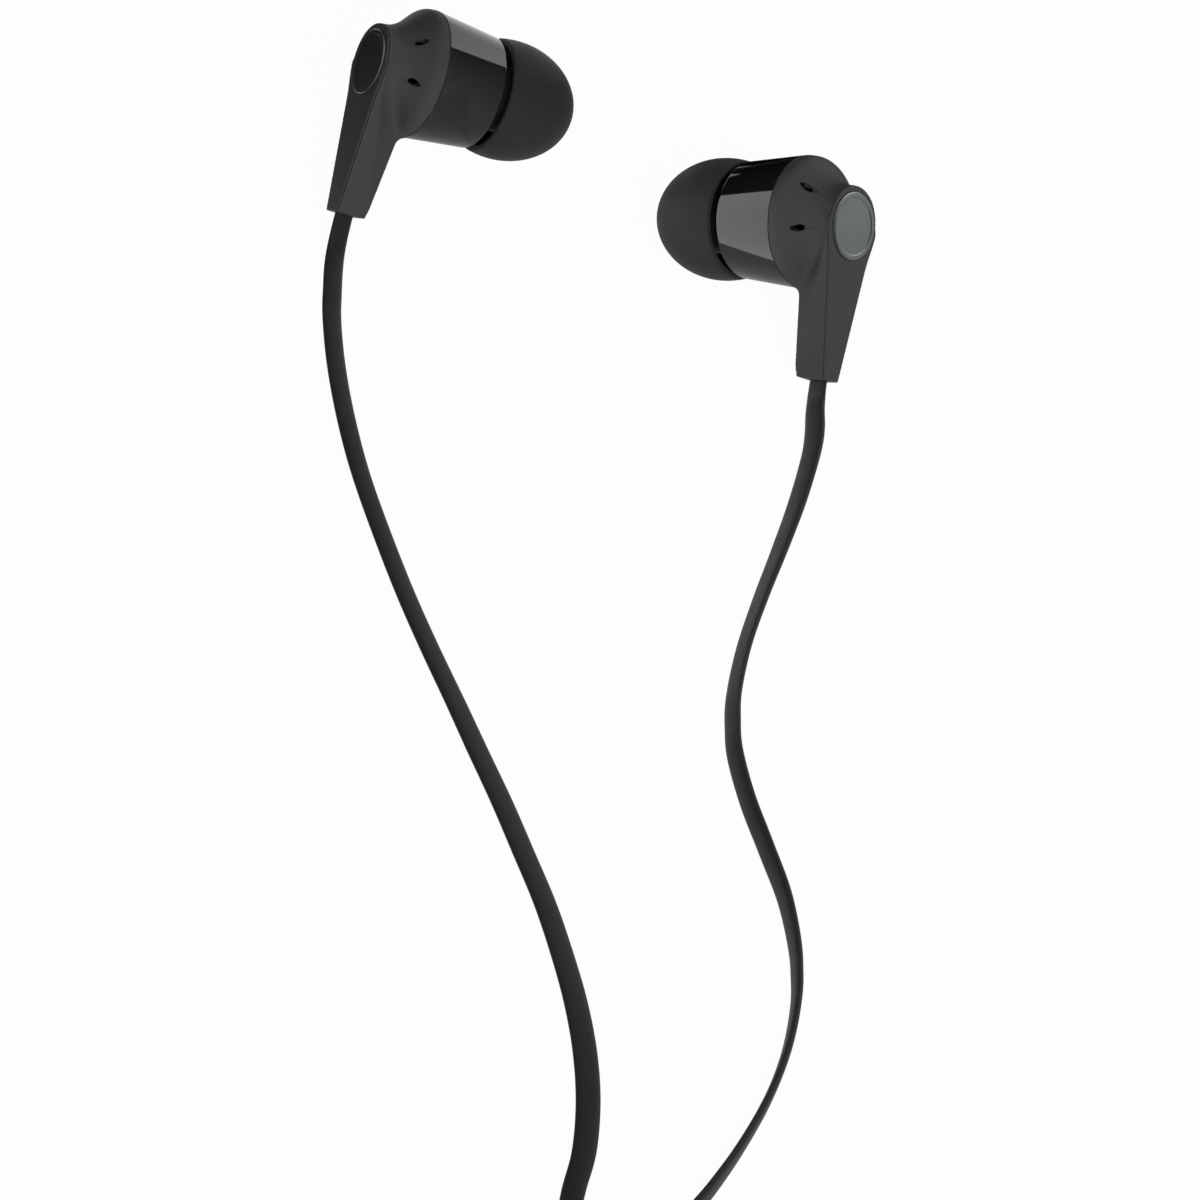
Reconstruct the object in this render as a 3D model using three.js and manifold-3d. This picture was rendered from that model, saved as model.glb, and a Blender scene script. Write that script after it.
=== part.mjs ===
// A pair of wired in-ear earphones lying on a table: two earbuds, each with a moulded rear housing
// whose stem carries the cord, a glossy front barrel with the sound nozzle, a silicone ear tip and a
// moving-coil driver; the flat cords, the Y-splitter and the 3.5 mm plug.
// Millimetres, +Z up. The origin is on the table, below the middle of the two earbuds.
//
// Each earbud is built in its own frame: +X runs along the barrel's axis toward the ear tip, with 0 at
// the seam between rear housing and barrel; -Z runs down the stem; +Y is sideways.
import * as THREE from "three";
import { mergeVertices } from "three/addons/utils/BufferGeometryUtils.js";
import Module from "manifold-3d";

const wasm = await Module();
wasm.setup();

// ---------------------------------------------------------------- driving dimensions
const SEAM_RADIUS = 7.05; // widest ring, where rear housing and barrel meet
const SHELL_WALL = 1.1;
const SEAM_GAP = 0.2; // between moulded shells
const FIT = 0.3; // running and seating clearance
const SNUG = 0.15; // clearance of glued metal parts

const BARREL_LENGTH = 7.5;
const BARREL_FRONT_RADIUS = 6.2;
const BARREL_EDGE = 0.25; // bevel on the front edge
const BARREL_FRONT_WALL = 1.1;
const FRONT_CHAMBER = 2; // air ahead of the driver
const NOZZLE_LENGTH = 5;
const NOZZLE_RADIUS = 2.6;
const NOZZLE_BORE = 1.6;
const BARB_HEIGHT = 0.15;
const BARB_LENGTH = 0.9;
const MESH_RADIUS = 1.95;
const MESH_THICKNESS = 0.35;
const DAMPER_LENGTH = 1.4;

const BACK_DEPTH = 5.9; // seam to the flat back face
const BOSS_RADIUS = 3.95; // round top of the back face
const SADDLE_DEPTH = 4.9; // behind the seam, where the body has shrunk to the boss
const STEM_END = 16.7; // barrel axis to the end of the stem
const STEM_TAPER = 0.168; // loss of half width per millimetre down the back face
const SIDE_FLARE = 0.17; // how far the side facet opens out toward the front
const CREASE_LEAN = 0.22; // how fast the crease between the two side facets moves forward
const FRONT_TURN = 0.6; // how fast the front facet turns in past the crease
const STEM_FRONT = 2.6; // depth of the stem's front edge at its end, behind the seam
const STEM_FRONT_LEAN = 0.19; // how fast that edge moves forward up the stem
const NECK_BLEND = 1.5; // size of the soft joint between the round body and the stem
const NECK_REACH = 1.6; // how many blend sizes the joint reaches down the stem
const NECK_SHARE = 0.35; // the most of the stem's length that it takes
const COVER_LIP = 0.5; // visible edge of the back cover
const COVER_PLUG = 0.9; // how deep its locating ring reaches inside
const COVER_PLUG_RADIUS = 3;
const COVER_PLUG_WALL = 0.6;
const CHAMBER_SHARES = [0.28, 0.46, 0.64, 0.8]; // depths at which the rear chamber's wall turns

const BADGE_RADIUS = 3.6;
const BADGE_THICKNESS = 0.3;
const BADGE_PROUD = 0.2; // how far it stands out of the back face
const BADGE_DROP = 0.28; // its centre lies this far below the barrel's axis
const BADGE_EDGE = 0.12;

const VENT_DEPTH = 2.4; // behind the seam
const VENT_ANGLES = [58, 107]; // degrees from the top, on each side
const VENT_RADIUS = 0.5;
const VENT_TAIL = 1.9;
const VENT_RECESS = 0.8;
const VENT_HOLE_RADIUS = 0.3;
const VENT_FULLNESS = 0.8; // how far the teardrop's sides bulge, of its round end

const DRIVER_RADIUS = 5.5;
const DRIVER_LENGTH = 2.9;
const BASKET_WALL = 0.5;
const POT_RADIUS = 3.1;
const POT_WALL = 0.4;
const POT_LENGTH = 1.75;
const MAGNET_RADIUS = 2;
const MAGNET_THICKNESS = 0.7;
const PLATE_RADIUS = 2.1;
const PLATE_THICKNESS = 0.3;
const COIL_WALL = 0.15;
const COIL_HEIGHT = 1.1;
const DIAPHRAGM_THICKNESS = 0.15;
const DOME_RISE = 0.35;
const EXCURSION = 0.2; // the driver's travel each way
const BOARD_SIZE = [0.4, 4.4, 2.6];
const BASKET_LEDGE = 0.35; // inner step of the driver's frame that the film lies on
const BASKET_LEDGE_DEPTH = 1.1; // below the frame's front rim
const BASKET_SLOPE = 0.2;
const BASKET_HOLES = 4;
const BASKET_HOLE_RADIUS = 0.35;
const FILM_DEPTH = 0.85; // of the film below the frame's front rim

const TIP_RADIUS = 6.5; // widest ring of the ear tip
const TIP_LENGTH = 10.1;
const TIP_GAP = 0.9; // between the barrel and the ear tip's skirt
const TIP_WALL = 0.6;
const TIP_CORE_WALL = 0.6;
const TIP_SOUND_BORE = 2;
const TIP_NOSE_EDGE = 0.35; // rounding of the front opening
const TIP_BELLY = 2.2; // from the skirt's rim to its widest ring
const TIP_CORE_LEAD = 0.4; // how far the core reaches past the skirt toward the barrel
const TIP_BARB_ROOM = 0.25; // between the nozzle's barb and the core
const TIP_DOME_WALL = 1.44; // thickness of the dome at its front
const TIP_ROOT_FILLET = 0.4; // where dome and core meet inside

const CORD_WIDTH = 2.4;
const CORD_THICKNESS = 0.85;
const CORD_CLEARANCE = 0.2;
const GRIP_LENGTH = 6; // moulded cord grip inside the stem
const GRIP_WIDTH = 1.9;

const COIL_PITCH = 1.7; // from one turn of cord to the next
const COIL_LAYER_GAP = 0.8;
const BRANCH_COIL_RADIUS = 14;
const MAIN_COIL_RADIUS = 18;
const BRANCH_TURNS = 2;
const MAIN_TURNS = 8.5;
const PLUG_LEAD = 10; // from the main coil to the plug's boot
const LEVEL_RUN = 0.3; // share of that lead that stays level at each end
const SAG = 0.1; // how far a tail dips or rises over its level stretch
const TAIL_LEVEL = 3.5; // level stretch at each end of a branch's tail
const TAIL_BEND = { along: 9, drop: 1.3 }; // where the tail turns toward the splitter
const TURN_STEPS = 24;

const SPLITTER_LENGTH = 13;
const SPLITTER_WIDTH = 7.6;
const SPLITTER_NECK = 4.4;
const SPLITTER_HEIGHT = 3.8;
const SPLITTER_EDGE = 0.7;
const BRANCH_SPACING = 3; // between the two branches where they leave the splitter

const PLUG_RADIUS = 1.75; // a 3.5 mm plug
const PLUG_PIN_LENGTH = 14;
const PLUG_GRIP_RADIUS = 3.2;
const PLUG_GRIP_LENGTH = 18;
const PLUG_BOOT_LENGTH = 9;
const PLUG_BOOT_RADIUS = 2;
const PLUG_CORE_RADIUS = 0.8;
const PLUG_EDGE = 0.6; // chamfer at both ends of the grip
const GRIP_GROOVE = { from: 3, width: 0.6, depth: 0.3 }; // round the grip, from its front end
const BOOT_RIBS = 3;
const BOOT_RIB_FROM = 0.8;
const BOOT_GROOVE = 0.4; // depth of its grooves, and their share of each rib
const BOOT_STEP = 0.5; // from the boot's broad end out to the grip

const TIE_THICKNESS = 0.4;
const TIE_WIDTH = 7;

// Where each earbud lies: the seam's centre on the table, the heading and dip of its barrel, and how
// far it is rolled about the barrel from its stem hanging straight down.
const LEFT_PLACE = { x: -19.45, y: 15.12, heading: 10.2, dip: 29.3, roll: -41 };
const RIGHT_PLACE = { x: 21.85, y: -7.1, heading: 149.5, dip: 23, roll: 47 };

// Where the cords lie: each coil's middle and the side it is entered from, and which way it winds.
const LEFT_COIL = { x: -16.5, y: -163, start: 0, sense: -1 };
const RIGHT_COIL = { x: 16.5, y: -163, start: 180, sense: 1 };
const MAIN_COIL = { x: -8, y: -235, start: 0, sense: -1 };
const SPLITTER_TOP = -183;

// Routes of the free cords as [x, y, turn] on the table. Turn is the roll of the flat cord in degrees:
// 0 lies flat and 90 stands on its edge. The first two points of each hang from the stem, with a height.
const LEFT_DROP = [[-27.5, 1.2, -41, 1.65], [-27.95, -1.4, -42, 1.05]];
const LEFT_ROUTE = [
  [-28.3, -7.2, -40], [-28.3, -10, -39], [-28, -14.6, -38], [-27.4, -20, -36], [-26.2, -27.4, -34],
  [-24.6, -34.9, -33], [-21.6, -45.8, -31], [-19.4, -53, -29], [-17, -60.1, -27], [-14.5, -67.1, -25],
  [-12.1, -74, -22], [-9.7, -80.8, -20], [-7.5, -87.6, -19], [-5.4, -94.2, -18], [-3.7, -100.8, -17],
  [-2.3, -107.3, -12], [-1.4, -113.7, -4], [-1.1, -120, 0], [-1.5, -126.3, 3], [-2.5, -131.2, 10],
  [-3.1, -136.5, 28], [-3, -143, 60], [-2.6, -149.5, 85], [-2.5, -155, 90],
];
const RIGHT_DROP = [[22.9, -23.4, 33, 1.45], [22.5, -26.4, 38, 1.05]];
const RIGHT_ROUTE = [
  [21.8, -31.2, 45], [20.3, -38.5, 47], [18.4, -45.8, 49], [16.3, -53, 50], [14.5, -60.1, 52],
  [13.4, -67.1, 54], [13.3, -70.6, 55], [13.4, -74, 57], [14.6, -80.8, 61], [16.4, -87.6, 63],
  [18.1, -94.2, 66], [19, -100.8, 69], [19.1, -104, 70], [19, -107.3, 72], [18, -113.7, 74],
  [16.1, -120, 77], [13.3, -126.3, 81], [10.6, -131.2, 87], [6.9, -137, 90], [4.2, -143.5, 90],
  [2.8, -150, 90], [2.5, -155.5, 90],
];
const MAIN_ROUTE = [[0, -199.5], [1.2, -205], [4.6, -212.5], [8.2, -220], [9.8, -226.5]];

// ---------------------------------------------------------------- materials
function finish(color, roughness, metalness) {
  return new THREE.MeshStandardMaterial({ color, roughness, metalness });
}

const MATTE_SHELL = finish(0x3a3a3b, 0.55, 0);
const GLOSS_SHELL = finish(0x1c1d1e, 0.08, 0);
const BADGE_METAL = finish(0x6b6d6e, 0.35, 0.6);
const SILICONE = finish(0x2a2a2b, 0.7, 0);
const CORD_SKIN = finish(0x2c2c2d, 0.65, 0);
const MOULDED_RUBBER = finish(0x262627, 0.6, 0);
const BLACK_PLASTIC = finish(0x202020, 0.5, 0);
const STEEL = finish(0x9a9c9e, 0.3, 1);
const MAGNET_PLATE = finish(0xb9bbbd, 0.2, 1);
const COPPER = finish(0xb46a3c, 0.35, 1);
const FILM = finish(0xc8b48a, 0.3, 0);
const CIRCUIT = finish(0x16181a, 0.5, 0);
const GOLD = finish(0xd0a956, 0.2, 1);
const FOAM = finish(0x4a4a48, 0.95, 0);

// ---------------------------------------------------------------- solids
// A closed body with shared corners, no flat slivers and its faces pointing out.
function closed(geometry) {
  const plain = geometry.clone();
  plain.deleteAttribute("normal");
  plain.deleteAttribute("uv");
  const merged = mergeVertices(plain, 1e-4);
  const index = merged.index.array;
  const kept = [];
  for (let i = 0; i < index.length; i += 3) {
    const [a, b, c] = [index[i], index[i + 1], index[i + 2]];
    if (a !== b && b !== c && c !== a) kept.push(a, b, c);
  }
  merged.setIndex(kept);
  if (volumeOf(merged) < 0) {
    for (let i = 0; i < kept.length; i += 3) [kept[i], kept[i + 1]] = [kept[i + 1], kept[i]];
    merged.setIndex(kept);
  }
  return merged;
}

function volumeOf(geometry) {
  const place = geometry.attributes.position;
  const index = geometry.index.array;
  const [p, q, r] = [new THREE.Vector3(), new THREE.Vector3(), new THREE.Vector3()];
  let volume = 0;
  for (let i = 0; i < index.length; i += 3) {
    p.fromBufferAttribute(place, index[i]);
    q.fromBufferAttribute(place, index[i + 1]);
    r.fromBufferAttribute(place, index[i + 2]);
    volume += p.dot(q.cross(r)) / 6;
  }
  return volume;
}

function solid(geometry) {
  const body = closed(geometry);
  return new wasm.Manifold(
    new wasm.Mesh({
      numProp: 3,
      vertProperties: new Float32Array(body.attributes.position.array),
      triVerts: new Uint32Array(body.index.array),
    }),
  );
}

function geometryOf(manifold) {
  const mesh = manifold.getMesh();
  const geometry = new THREE.BufferGeometry();
  const corners = [];
  for (let i = 0; i < mesh.vertProperties.length; i += mesh.numProp) {
    corners.push(...mesh.vertProperties.slice(i, i + 3));
  }
  geometry.setAttribute("position", new THREE.Float32BufferAttribute(corners, 3));
  geometry.setIndex([...mesh.triVerts]);
  return geometry;
}

// A body turned about the X axis from [x, radius] points. The outline starts and ends on the axis, or
// it is joined back to its first point.
function turned(outline, sides = 40) {
  const points = outline.map(([x, radius]) => new THREE.Vector2(radius, x));
  const onAxis = outline[0][1] === 0 && outline.at(-1)[1] === 0;
  if (!onAxis) points.push(points[0].clone());
  return new THREE.LatheGeometry(points, sides).rotateZ(-Math.PI / 2);
}

function disc(from, to, radius, sides = 32) {
  return turned([[from, 0], [from, radius], [to, radius], [to, 0]], sides);
}

function ring(from, to, inner, outer, sides = 32) {
  return turned([[from, inner], [from, outer], [to, outer], [to, inner]], sides);
}

function box(fromX, toX, sizeY, fromZ, toZ) {
  const body = new THREE.BoxGeometry(toX - fromX, sizeY, toZ - fromZ);
  return body.translate((fromX + toX) / 2, 0, (fromZ + toZ) / 2);
}

// Skins a row of equal closed rings of points and caps both ends.
function skinned(rings) {
  const count = rings[0].length;
  const corners = rings.flat().flatMap((p) => [p.x, p.y, p.z]);
  const faces = [];
  for (let i = 0; i + 1 < rings.length; i += 1) {
    for (let k = 0; k < count; k += 1) {
      const next = (k + 1) % count;
      const [a, b] = [i * count + k, i * count + next];
      const [c, d] = [a + count, b + count];
      const straight = rings[i][k].distanceTo(rings[i + 1][next]);
      const crossed = rings[i][next].distanceTo(rings[i + 1][k]);
      if (straight < crossed) faces.push(a, b, d, a, d, c);
      else faces.push(a, b, c, b, d, c);
    }
  }
  for (const [start, turn] of [[0, 1], [(rings.length - 1) * count, 0]]) {
    const middle = corners.length / 3;
    const ringPoints = rings[start / count];
    const centre = ringPoints.reduce((sum, p) => sum.add(p), new THREE.Vector3());
    centre.divideScalar(count);
    corners.push(centre.x, centre.y, centre.z);
    for (let k = 0; k < count; k += 1) {
      const pair = [start + k, start + ((k + 1) % count)];
      faces.push(middle, pair[turn], pair[1 - turn]);
    }
  }
  const geometry = new THREE.BufferGeometry();
  geometry.setAttribute("position", new THREE.Float32BufferAttribute(corners, 3));
  geometry.setIndex(faces);
  return geometry;
}

// ---------------------------------------------------------------- rear housing
// Radius of the round body at a depth behind the seam: an S-curve from the widest ring to the boss.
function bodyRadius(depth) {
  const t = THREE.MathUtils.clamp(1 - depth / SADDLE_DEPTH, 0, 1);
  return BOSS_RADIUS + (SEAM_RADIUS - BOSS_RADIUS) * t * t * (3 - 2 * t);
}

function softMin(a, b, size) {
  const h = Math.max(size - Math.abs(a - b), 0) / size;
  return Math.min(a, b) - (h * h * size) / 4;
}

// Half width of the stem: the side facet opens toward the front up to the crease, and the front facet
// turns in from there.
function stemHalfWidth(depth, drop) {
  const forward = BACK_DEPTH - depth;
  const back = BOSS_RADIUS * Math.hypot(1, STEM_TAPER) - STEM_TAPER * drop;
  const side = back + SIDE_FLARE * forward;
  const creaseWidth = back + SIDE_FLARE * CREASE_LEAN * drop;
  const front = creaseWidth - FRONT_TURN * (forward - CREASE_LEAN * drop);
  return Math.min(side, front);
}

// Depth of the stem's front edge.
function stemFront(drop) {
  return STEM_FRONT - STEM_FRONT_LEAN * (STEM_END - drop);
}

// Where the straight sides of the back face leave the boss.
const TANGENT_DROP = (BOSS_RADIUS * STEM_TAPER) / Math.hypot(1, STEM_TAPER);

// Less than 0 inside the joined body and stem.
function housingField(depth, drop, side) {
  const body = Math.hypot(drop, side) - bodyRadius(depth);
  const stem = Math.max(
    Math.abs(side) - stemHalfWidth(depth, drop),
    stemFront(drop) - depth,
    drop - STEM_END,
    TANGENT_DROP - drop,
  );
  return softMin(body, stem, NECK_BLEND);
}

// Distance from the barrel's axis to the skin in one direction, found by halving.
function skinDistance(depth, angle) {
  let [low, high] = [0, STEM_END * 1.3];
  const step = 0.25;
  for (let r = high; r > 0; r -= step) {
    if (housingField(depth, r * Math.cos(angle), r * Math.sin(angle)) < 0) {
      [low, high] = [r, r + step];
      break;
    }
  }
  for (let i = 0; i < 24; i += 1) {
    const middle = (low + high) / 2;
    const inside = housingField(depth, middle * Math.cos(angle), middle * Math.sin(angle)) < 0;
    if (inside) low = middle;
    else high = middle;
  }
  return (low + high) / 2;
}

// Drop at which the stem's side comes out of the round body.
function neckDrop(depth, reach) {
  const outside = (drop) => Math.hypot(drop, stemHalfWidth(depth, drop)) > bodyRadius(depth);
  let [low, high] = [TANGENT_DROP, reach];
  if (outside(low)) return low;
  for (let i = 0; i < 24; i += 1) {
    const middle = (low + high) / 2;
    if (outside(middle)) high = middle;
    else low = middle;
  }
  return low;
}

// How the points of one ring are spread: rows in the soft neck, the crease's place on the stem, and
// steps round the body that grow away from the neck.
const NECK_ROWS = [1, 0.66, 0.33, 0];
const CREASE_SPAN = [0.4, 0.9];
const LEAST_HALF_WIDTH = 0.5;
const BODY_STEPS = 13;
const STEP_GROWTH = 1.12;

// Directions of one ring's points from the barrel's axis. They follow the stem's corner, its crease, the
// soft neck and then the round body, so each feature is one line down the skin.
function ringAngles(depth) {
  let reach = STEM_END;
  if (depth < STEM_FRONT) reach = STEM_END - (STEM_FRONT - depth) / STEM_FRONT_LEAN;
  reach = Math.max(reach, bodyRadius(depth));
  const neck = neckDrop(depth, reach);
  const free = reach - neck;
  const [high, low] = CREASE_SPAN.map((share) => neck + free * share);
  const crease = THREE.MathUtils.clamp((BACK_DEPTH - depth) / CREASE_LEAN, high, low);
  const soft = Math.min(NECK_BLEND * NECK_REACH, free * NECK_SHARE);
  const drops = [reach, crease, ...NECK_ROWS.map((row) => neck + soft * row)];
  const halfWidth = (drop) => Math.max(stemHalfWidth(depth, drop), LEAST_HALF_WIDTH);
  const angles = drops.map((drop) => Math.atan2(halfWidth(drop), drop));
  const from = angles.at(-1);
  for (let i = 1; i < BODY_STEPS; i += 1) {
    angles.push(from + (Math.PI - from) * (i / BODY_STEPS) ** STEP_GROWTH);
  }
  return angles;
}

// One closed ring of the skin.
function housingRing(depth) {
  const half = ringAngles(depth).map((angle) => {
    const r = skinDistance(depth, angle);
    return new THREE.Vector3(-depth, r * Math.sin(angle), -r * Math.cos(angle));
  });
  const top = new THREE.Vector3(-depth, 0, skinDistance(depth, Math.PI));
  const other = half.map((p) => new THREE.Vector3(p.x, -p.y, p.z)).reverse();
  return [...half, top, ...other];
}

const COVER_SEAM = BACK_DEPTH - COVER_LIP - SEAM_GAP; // depth of the rear housing's back edge

// A teardrop recess with its tail toward the back, where the skin falls away to its floor, and a small
// hole at its round end that lets the rear chamber breathe.
function ventCutter(angle, side) {
  const shape = new THREE.Shape();
  shape.absarc(0, 0, VENT_RADIUS, -Math.PI / 2, Math.PI / 2, false);
  shape.quadraticCurveTo(-VENT_TAIL / 2, VENT_RADIUS * VENT_FULLNESS, -VENT_TAIL, 0);
  shape.quadraticCurveTo(-VENT_TAIL / 2, -VENT_RADIUS * VENT_FULLNESS, 0, -VENT_RADIUS);
  const options = { depth: 2 * VENT_RECESS, bevelEnabled: false, curveSegments: 3 };
  const floor = bodyRadius(VENT_DEPTH) - VENT_RECESS;
  const recess = new THREE.ExtrudeGeometry(shape, options).translate(0, 0, floor);
  const drill = new THREE.CylinderGeometry(VENT_HOLE_RADIUS, VENT_HOLE_RADIUS, 2 * SHELL_WALL, 6);
  drill.rotateX(Math.PI / 2).translate(0, 0, floor);
  const turn = side * -THREE.MathUtils.degToRad(angle);
  const place = (geometry) => solid(geometry.rotateX(turn).translate(-VENT_DEPTH, 0, 0));
  return place(recess).add(place(drill));
}

// Depths of the skin's rings: close together where the stem's front edge crosses them.
function housingDepths() {
  const shares = [0, 0.14, 0.33, 0.5, 0.66, 0.82];
  const behind = [0, 0.2, 0.48, 0.76, 1];
  const front = shares.map((share) => share * STEM_FRONT);
  return [...front, ...behind.map((share) => STEM_FRONT + share * (COVER_SEAM - STEM_FRONT))];
}

function rearHousing() {
  let body = solid(skinned(housingDepths().map((depth) => housingRing(depth))));
  const counterbore = DRIVER_RADIUS + FIT;
  const spigotReach = barrelSeat() - DRIVER_LENGTH - 2 * FIT;
  const spigotOuter = counterbore - FIT;
  const spigotInner = spigotOuter - BASKET_WALL;
  body = body.add(solid(disc(-SHELL_WALL, spigotReach, spigotOuter, 28)));
  const cavity = [[spigotReach + 1, 0], [spigotReach + 1, spigotInner], [-SHELL_WALL / 2, spigotInner]];
  const mouth = COVER_PLUG_RADIUS + FIT;
  for (const share of CHAMBER_SHARES) {
    const depth = share * COVER_SEAM;
    cavity.push([-depth, Math.max(bodyRadius(depth) - SHELL_WALL, mouth)]);
  }
  cavity.push([-BACK_DEPTH - 1, mouth], [-BACK_DEPTH - 1, 0]);
  body = body.subtract(solid(turned(cavity, 24)));
  body = body.subtract(solid(cordChannel()));
  for (const angle of VENT_ANGLES) {
    for (const side of [-1, 1]) body = body.subtract(ventCutter(angle, side));
  }
  return geometryOf(body);
}

// Depth of the cord's middle line: it lies against the back cover.
function cordDepth() {
  return BACK_DEPTH - COVER_LIP - CORD_CLEARANCE - GRIP_WIDTH / 2;
}

// The slot that the cord lies in, down the stem and open to the back cover.
function cordChannel() {
  const front = -cordDepth() + GRIP_WIDTH / 2 + CORD_CLEARANCE;
  const width = CORD_THICKNESS + 2 * CORD_CLEARANCE;
  return box(-BACK_DEPTH - 1, front, width, -STEM_END - 1, -COVER_PLUG_RADIUS + COVER_PLUG_WALL);
}

// The teardrop plate that closes the back, with a ring that locates it and a seat for the badge.
function backCover() {
  const seat = BADGE_THICKNESS - BADGE_PROUD + SNUG;
  const depths = [COVER_SEAM + SEAM_GAP, BACK_DEPTH];
  let plate = solid(skinned(depths.map((depth) => housingRing(depth))));
  const plugFrom = -COVER_SEAM + COVER_PLUG;
  plate = plate.add(solid(disc(-BACK_DEPTH + COVER_LIP - SNUG, plugFrom, COVER_PLUG_RADIUS, 24)));
  const pocket = disc(plugFrom - COVER_PLUG, plugFrom + 1, COVER_PLUG_RADIUS - COVER_PLUG_WALL, 20);
  plate = plate.subtract(solid(pocket));
  const recess = disc(-BACK_DEPTH - 1, -BACK_DEPTH + seat, BADGE_RADIUS + SNUG, 30);
  return geometryOf(plate.subtract(solid(recess.translate(0, 0, -BADGE_DROP))));
}

function badge() {
  const front = -BACK_DEPTH - BADGE_PROUD;
  const rim = BADGE_RADIUS - BADGE_EDGE;
  const back = front + BADGE_THICKNESS;
  const outline = [[front, 0], [front, rim], [front + BADGE_EDGE, BADGE_RADIUS], [back, BADGE_RADIUS], [back, 0]];
  return turned(outline, 32).translate(0, 0, -BADGE_DROP);
}

function cordGrip() {
  const middle = -cordDepth();
  const half = GRIP_WIDTH / 2;
  return box(middle - half, middle + half, CORD_THICKNESS, -STEM_END, GRIP_LENGTH - STEM_END);
}

// ---------------------------------------------------------------- front barrel and ear tip
// Where the driver's front rim meets the barrel's shoulder.
function barrelSeat() {
  return BARREL_LENGTH - BARREL_FRONT_WALL - FRONT_CHAMBER;
}

function nozzleEnd() {
  return BARREL_LENGTH + NOZZLE_LENGTH;
}

function frontBarrel() {
  const counterbore = DRIVER_RADIUS + FIT;
  const chamber = DRIVER_RADIUS - BASKET_WALL - SNUG;
  const end = nozzleEnd();
  const barb = NOZZLE_RADIUS + BARB_HEIGHT;
  const meshSeat = end - MESH_THICKNESS - SNUG;
  return turned([
    [SEAM_GAP, counterbore],
    [SEAM_GAP, SEAM_RADIUS],
    [BARREL_LENGTH - BARREL_EDGE, BARREL_FRONT_RADIUS],
    [BARREL_LENGTH, BARREL_FRONT_RADIUS - BARREL_EDGE],
    [BARREL_LENGTH, NOZZLE_RADIUS],
    [end - BARB_LENGTH, NOZZLE_RADIUS],
    [end - BARB_LENGTH, barb],
    [end - BARB_LENGTH / 2, barb],
    [end, NOZZLE_RADIUS - BARB_HEIGHT],
    [end, MESH_RADIUS + SNUG],
    [meshSeat, MESH_RADIUS + SNUG],
    [meshSeat, NOZZLE_BORE],
    [BARREL_LENGTH - BARREL_FRONT_WALL, NOZZLE_BORE],
    [BARREL_LENGTH - BARREL_FRONT_WALL, chamber],
    [barrelSeat(), chamber],
    [barrelSeat(), counterbore],
  ], 32);
}

function nozzleMesh() {
  return disc(nozzleEnd() - MESH_THICKNESS, nozzleEnd(), MESH_RADIUS, 24);
}

function acousticDamper() {
  const front = nozzleEnd() - MESH_THICKNESS - SNUG - FIT;
  return disc(front - DAMPER_LENGTH, front, NOZZLE_BORE - SNUG, 24);
}

// Bore of the ear tip's core, wide enough to pass the nozzle's barb.
function tipBore() {
  return NOZZLE_RADIUS + BARB_HEIGHT + TIP_BARB_ROOM;
}

function earTip() {
  const rim = BARREL_LENGTH + TIP_GAP;
  const belly = rim + TIP_BELLY;
  const front = rim + TIP_LENGTH;
  const bore = tipBore();
  const core = bore + TIP_CORE_WALL;
  const floor = nozzleEnd() + FIT;
  const lead = rim - TIP_CORE_LEAD;
  const outline = [[lead, core], [lead, bore], [floor, bore], [floor, TIP_SOUND_BORE]];
  const arc = 7; // steps of the dome
  const startAngle = Math.asin((TIP_SOUND_BORE + TIP_NOSE_EDGE) / TIP_RADIUS);
  outline.push([belly + (front - belly) * Math.cos(startAngle) - TIP_NOSE_EDGE, TIP_SOUND_BORE]);
  for (let i = 0; i <= arc; i += 1) {
    const angle = startAngle + ((Math.PI / 2 - startAngle) * i) / arc;
    outline.push([belly + (front - belly) * Math.cos(angle), TIP_RADIUS * Math.sin(angle)]);
  }
  const half = TIP_WALL / 2;
  const drawIn = TIP_WALL / 3; // the skirt draws in a little toward its rim
  outline.push([rim + half, TIP_RADIUS - drawIn], [rim, TIP_RADIUS - drawIn - half]);
  outline.push([rim + half, TIP_RADIUS - drawIn - TIP_WALL]);
  const innerRadius = TIP_RADIUS - TIP_WALL;
  const innerLength = front - belly - TIP_DOME_WALL;
  const endAngle = Math.asin((core + TIP_ROOT_FILLET) / innerRadius);
  for (let i = 0; i <= 3; i += 1) {
    const angle = Math.PI / 2 + ((endAngle - Math.PI / 2) * i) / 3;
    outline.push([belly + innerLength * Math.cos(angle), innerRadius * Math.sin(angle)]);
  }
  outline.push([belly + innerLength * Math.cos(endAngle) - TIP_ROOT_FILLET, core]);
  return turned(outline, 28);
}

// ---------------------------------------------------------------- driver
function driverBack() {
  return barrelSeat() - FIT - DRIVER_LENGTH;
}

function driverFrame() {
  const back = driverBack();
  const front = back + DRIVER_LENGTH;
  const inner = DRIVER_RADIUS - BASKET_WALL;
  const floor = back + BASKET_WALL;
  const ledge = inner - BASKET_LEDGE;
  let frame = solid(turned([
    [back, POT_RADIUS + SNUG],
    [back, DRIVER_RADIUS],
    [front, DRIVER_RADIUS],
    [front, inner],
    [front - BASKET_LEDGE_DEPTH, inner],
    [front - BASKET_LEDGE_DEPTH - BASKET_SLOPE, ledge],
    [floor, ledge],
    [floor, POT_RADIUS + SNUG],
  ], 24));
  for (let i = 0; i < BASKET_HOLES; i += 1) {
    const hole = disc(back - 1, floor + 1, BASKET_HOLE_RADIUS, 6);
    hole.translate(0, 0, (ledge + POT_RADIUS + SNUG) / 2).rotateX((i * 2 * Math.PI) / BASKET_HOLES);
    frame = frame.subtract(solid(hole));
  }
  return geometryOf(frame);
}

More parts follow.
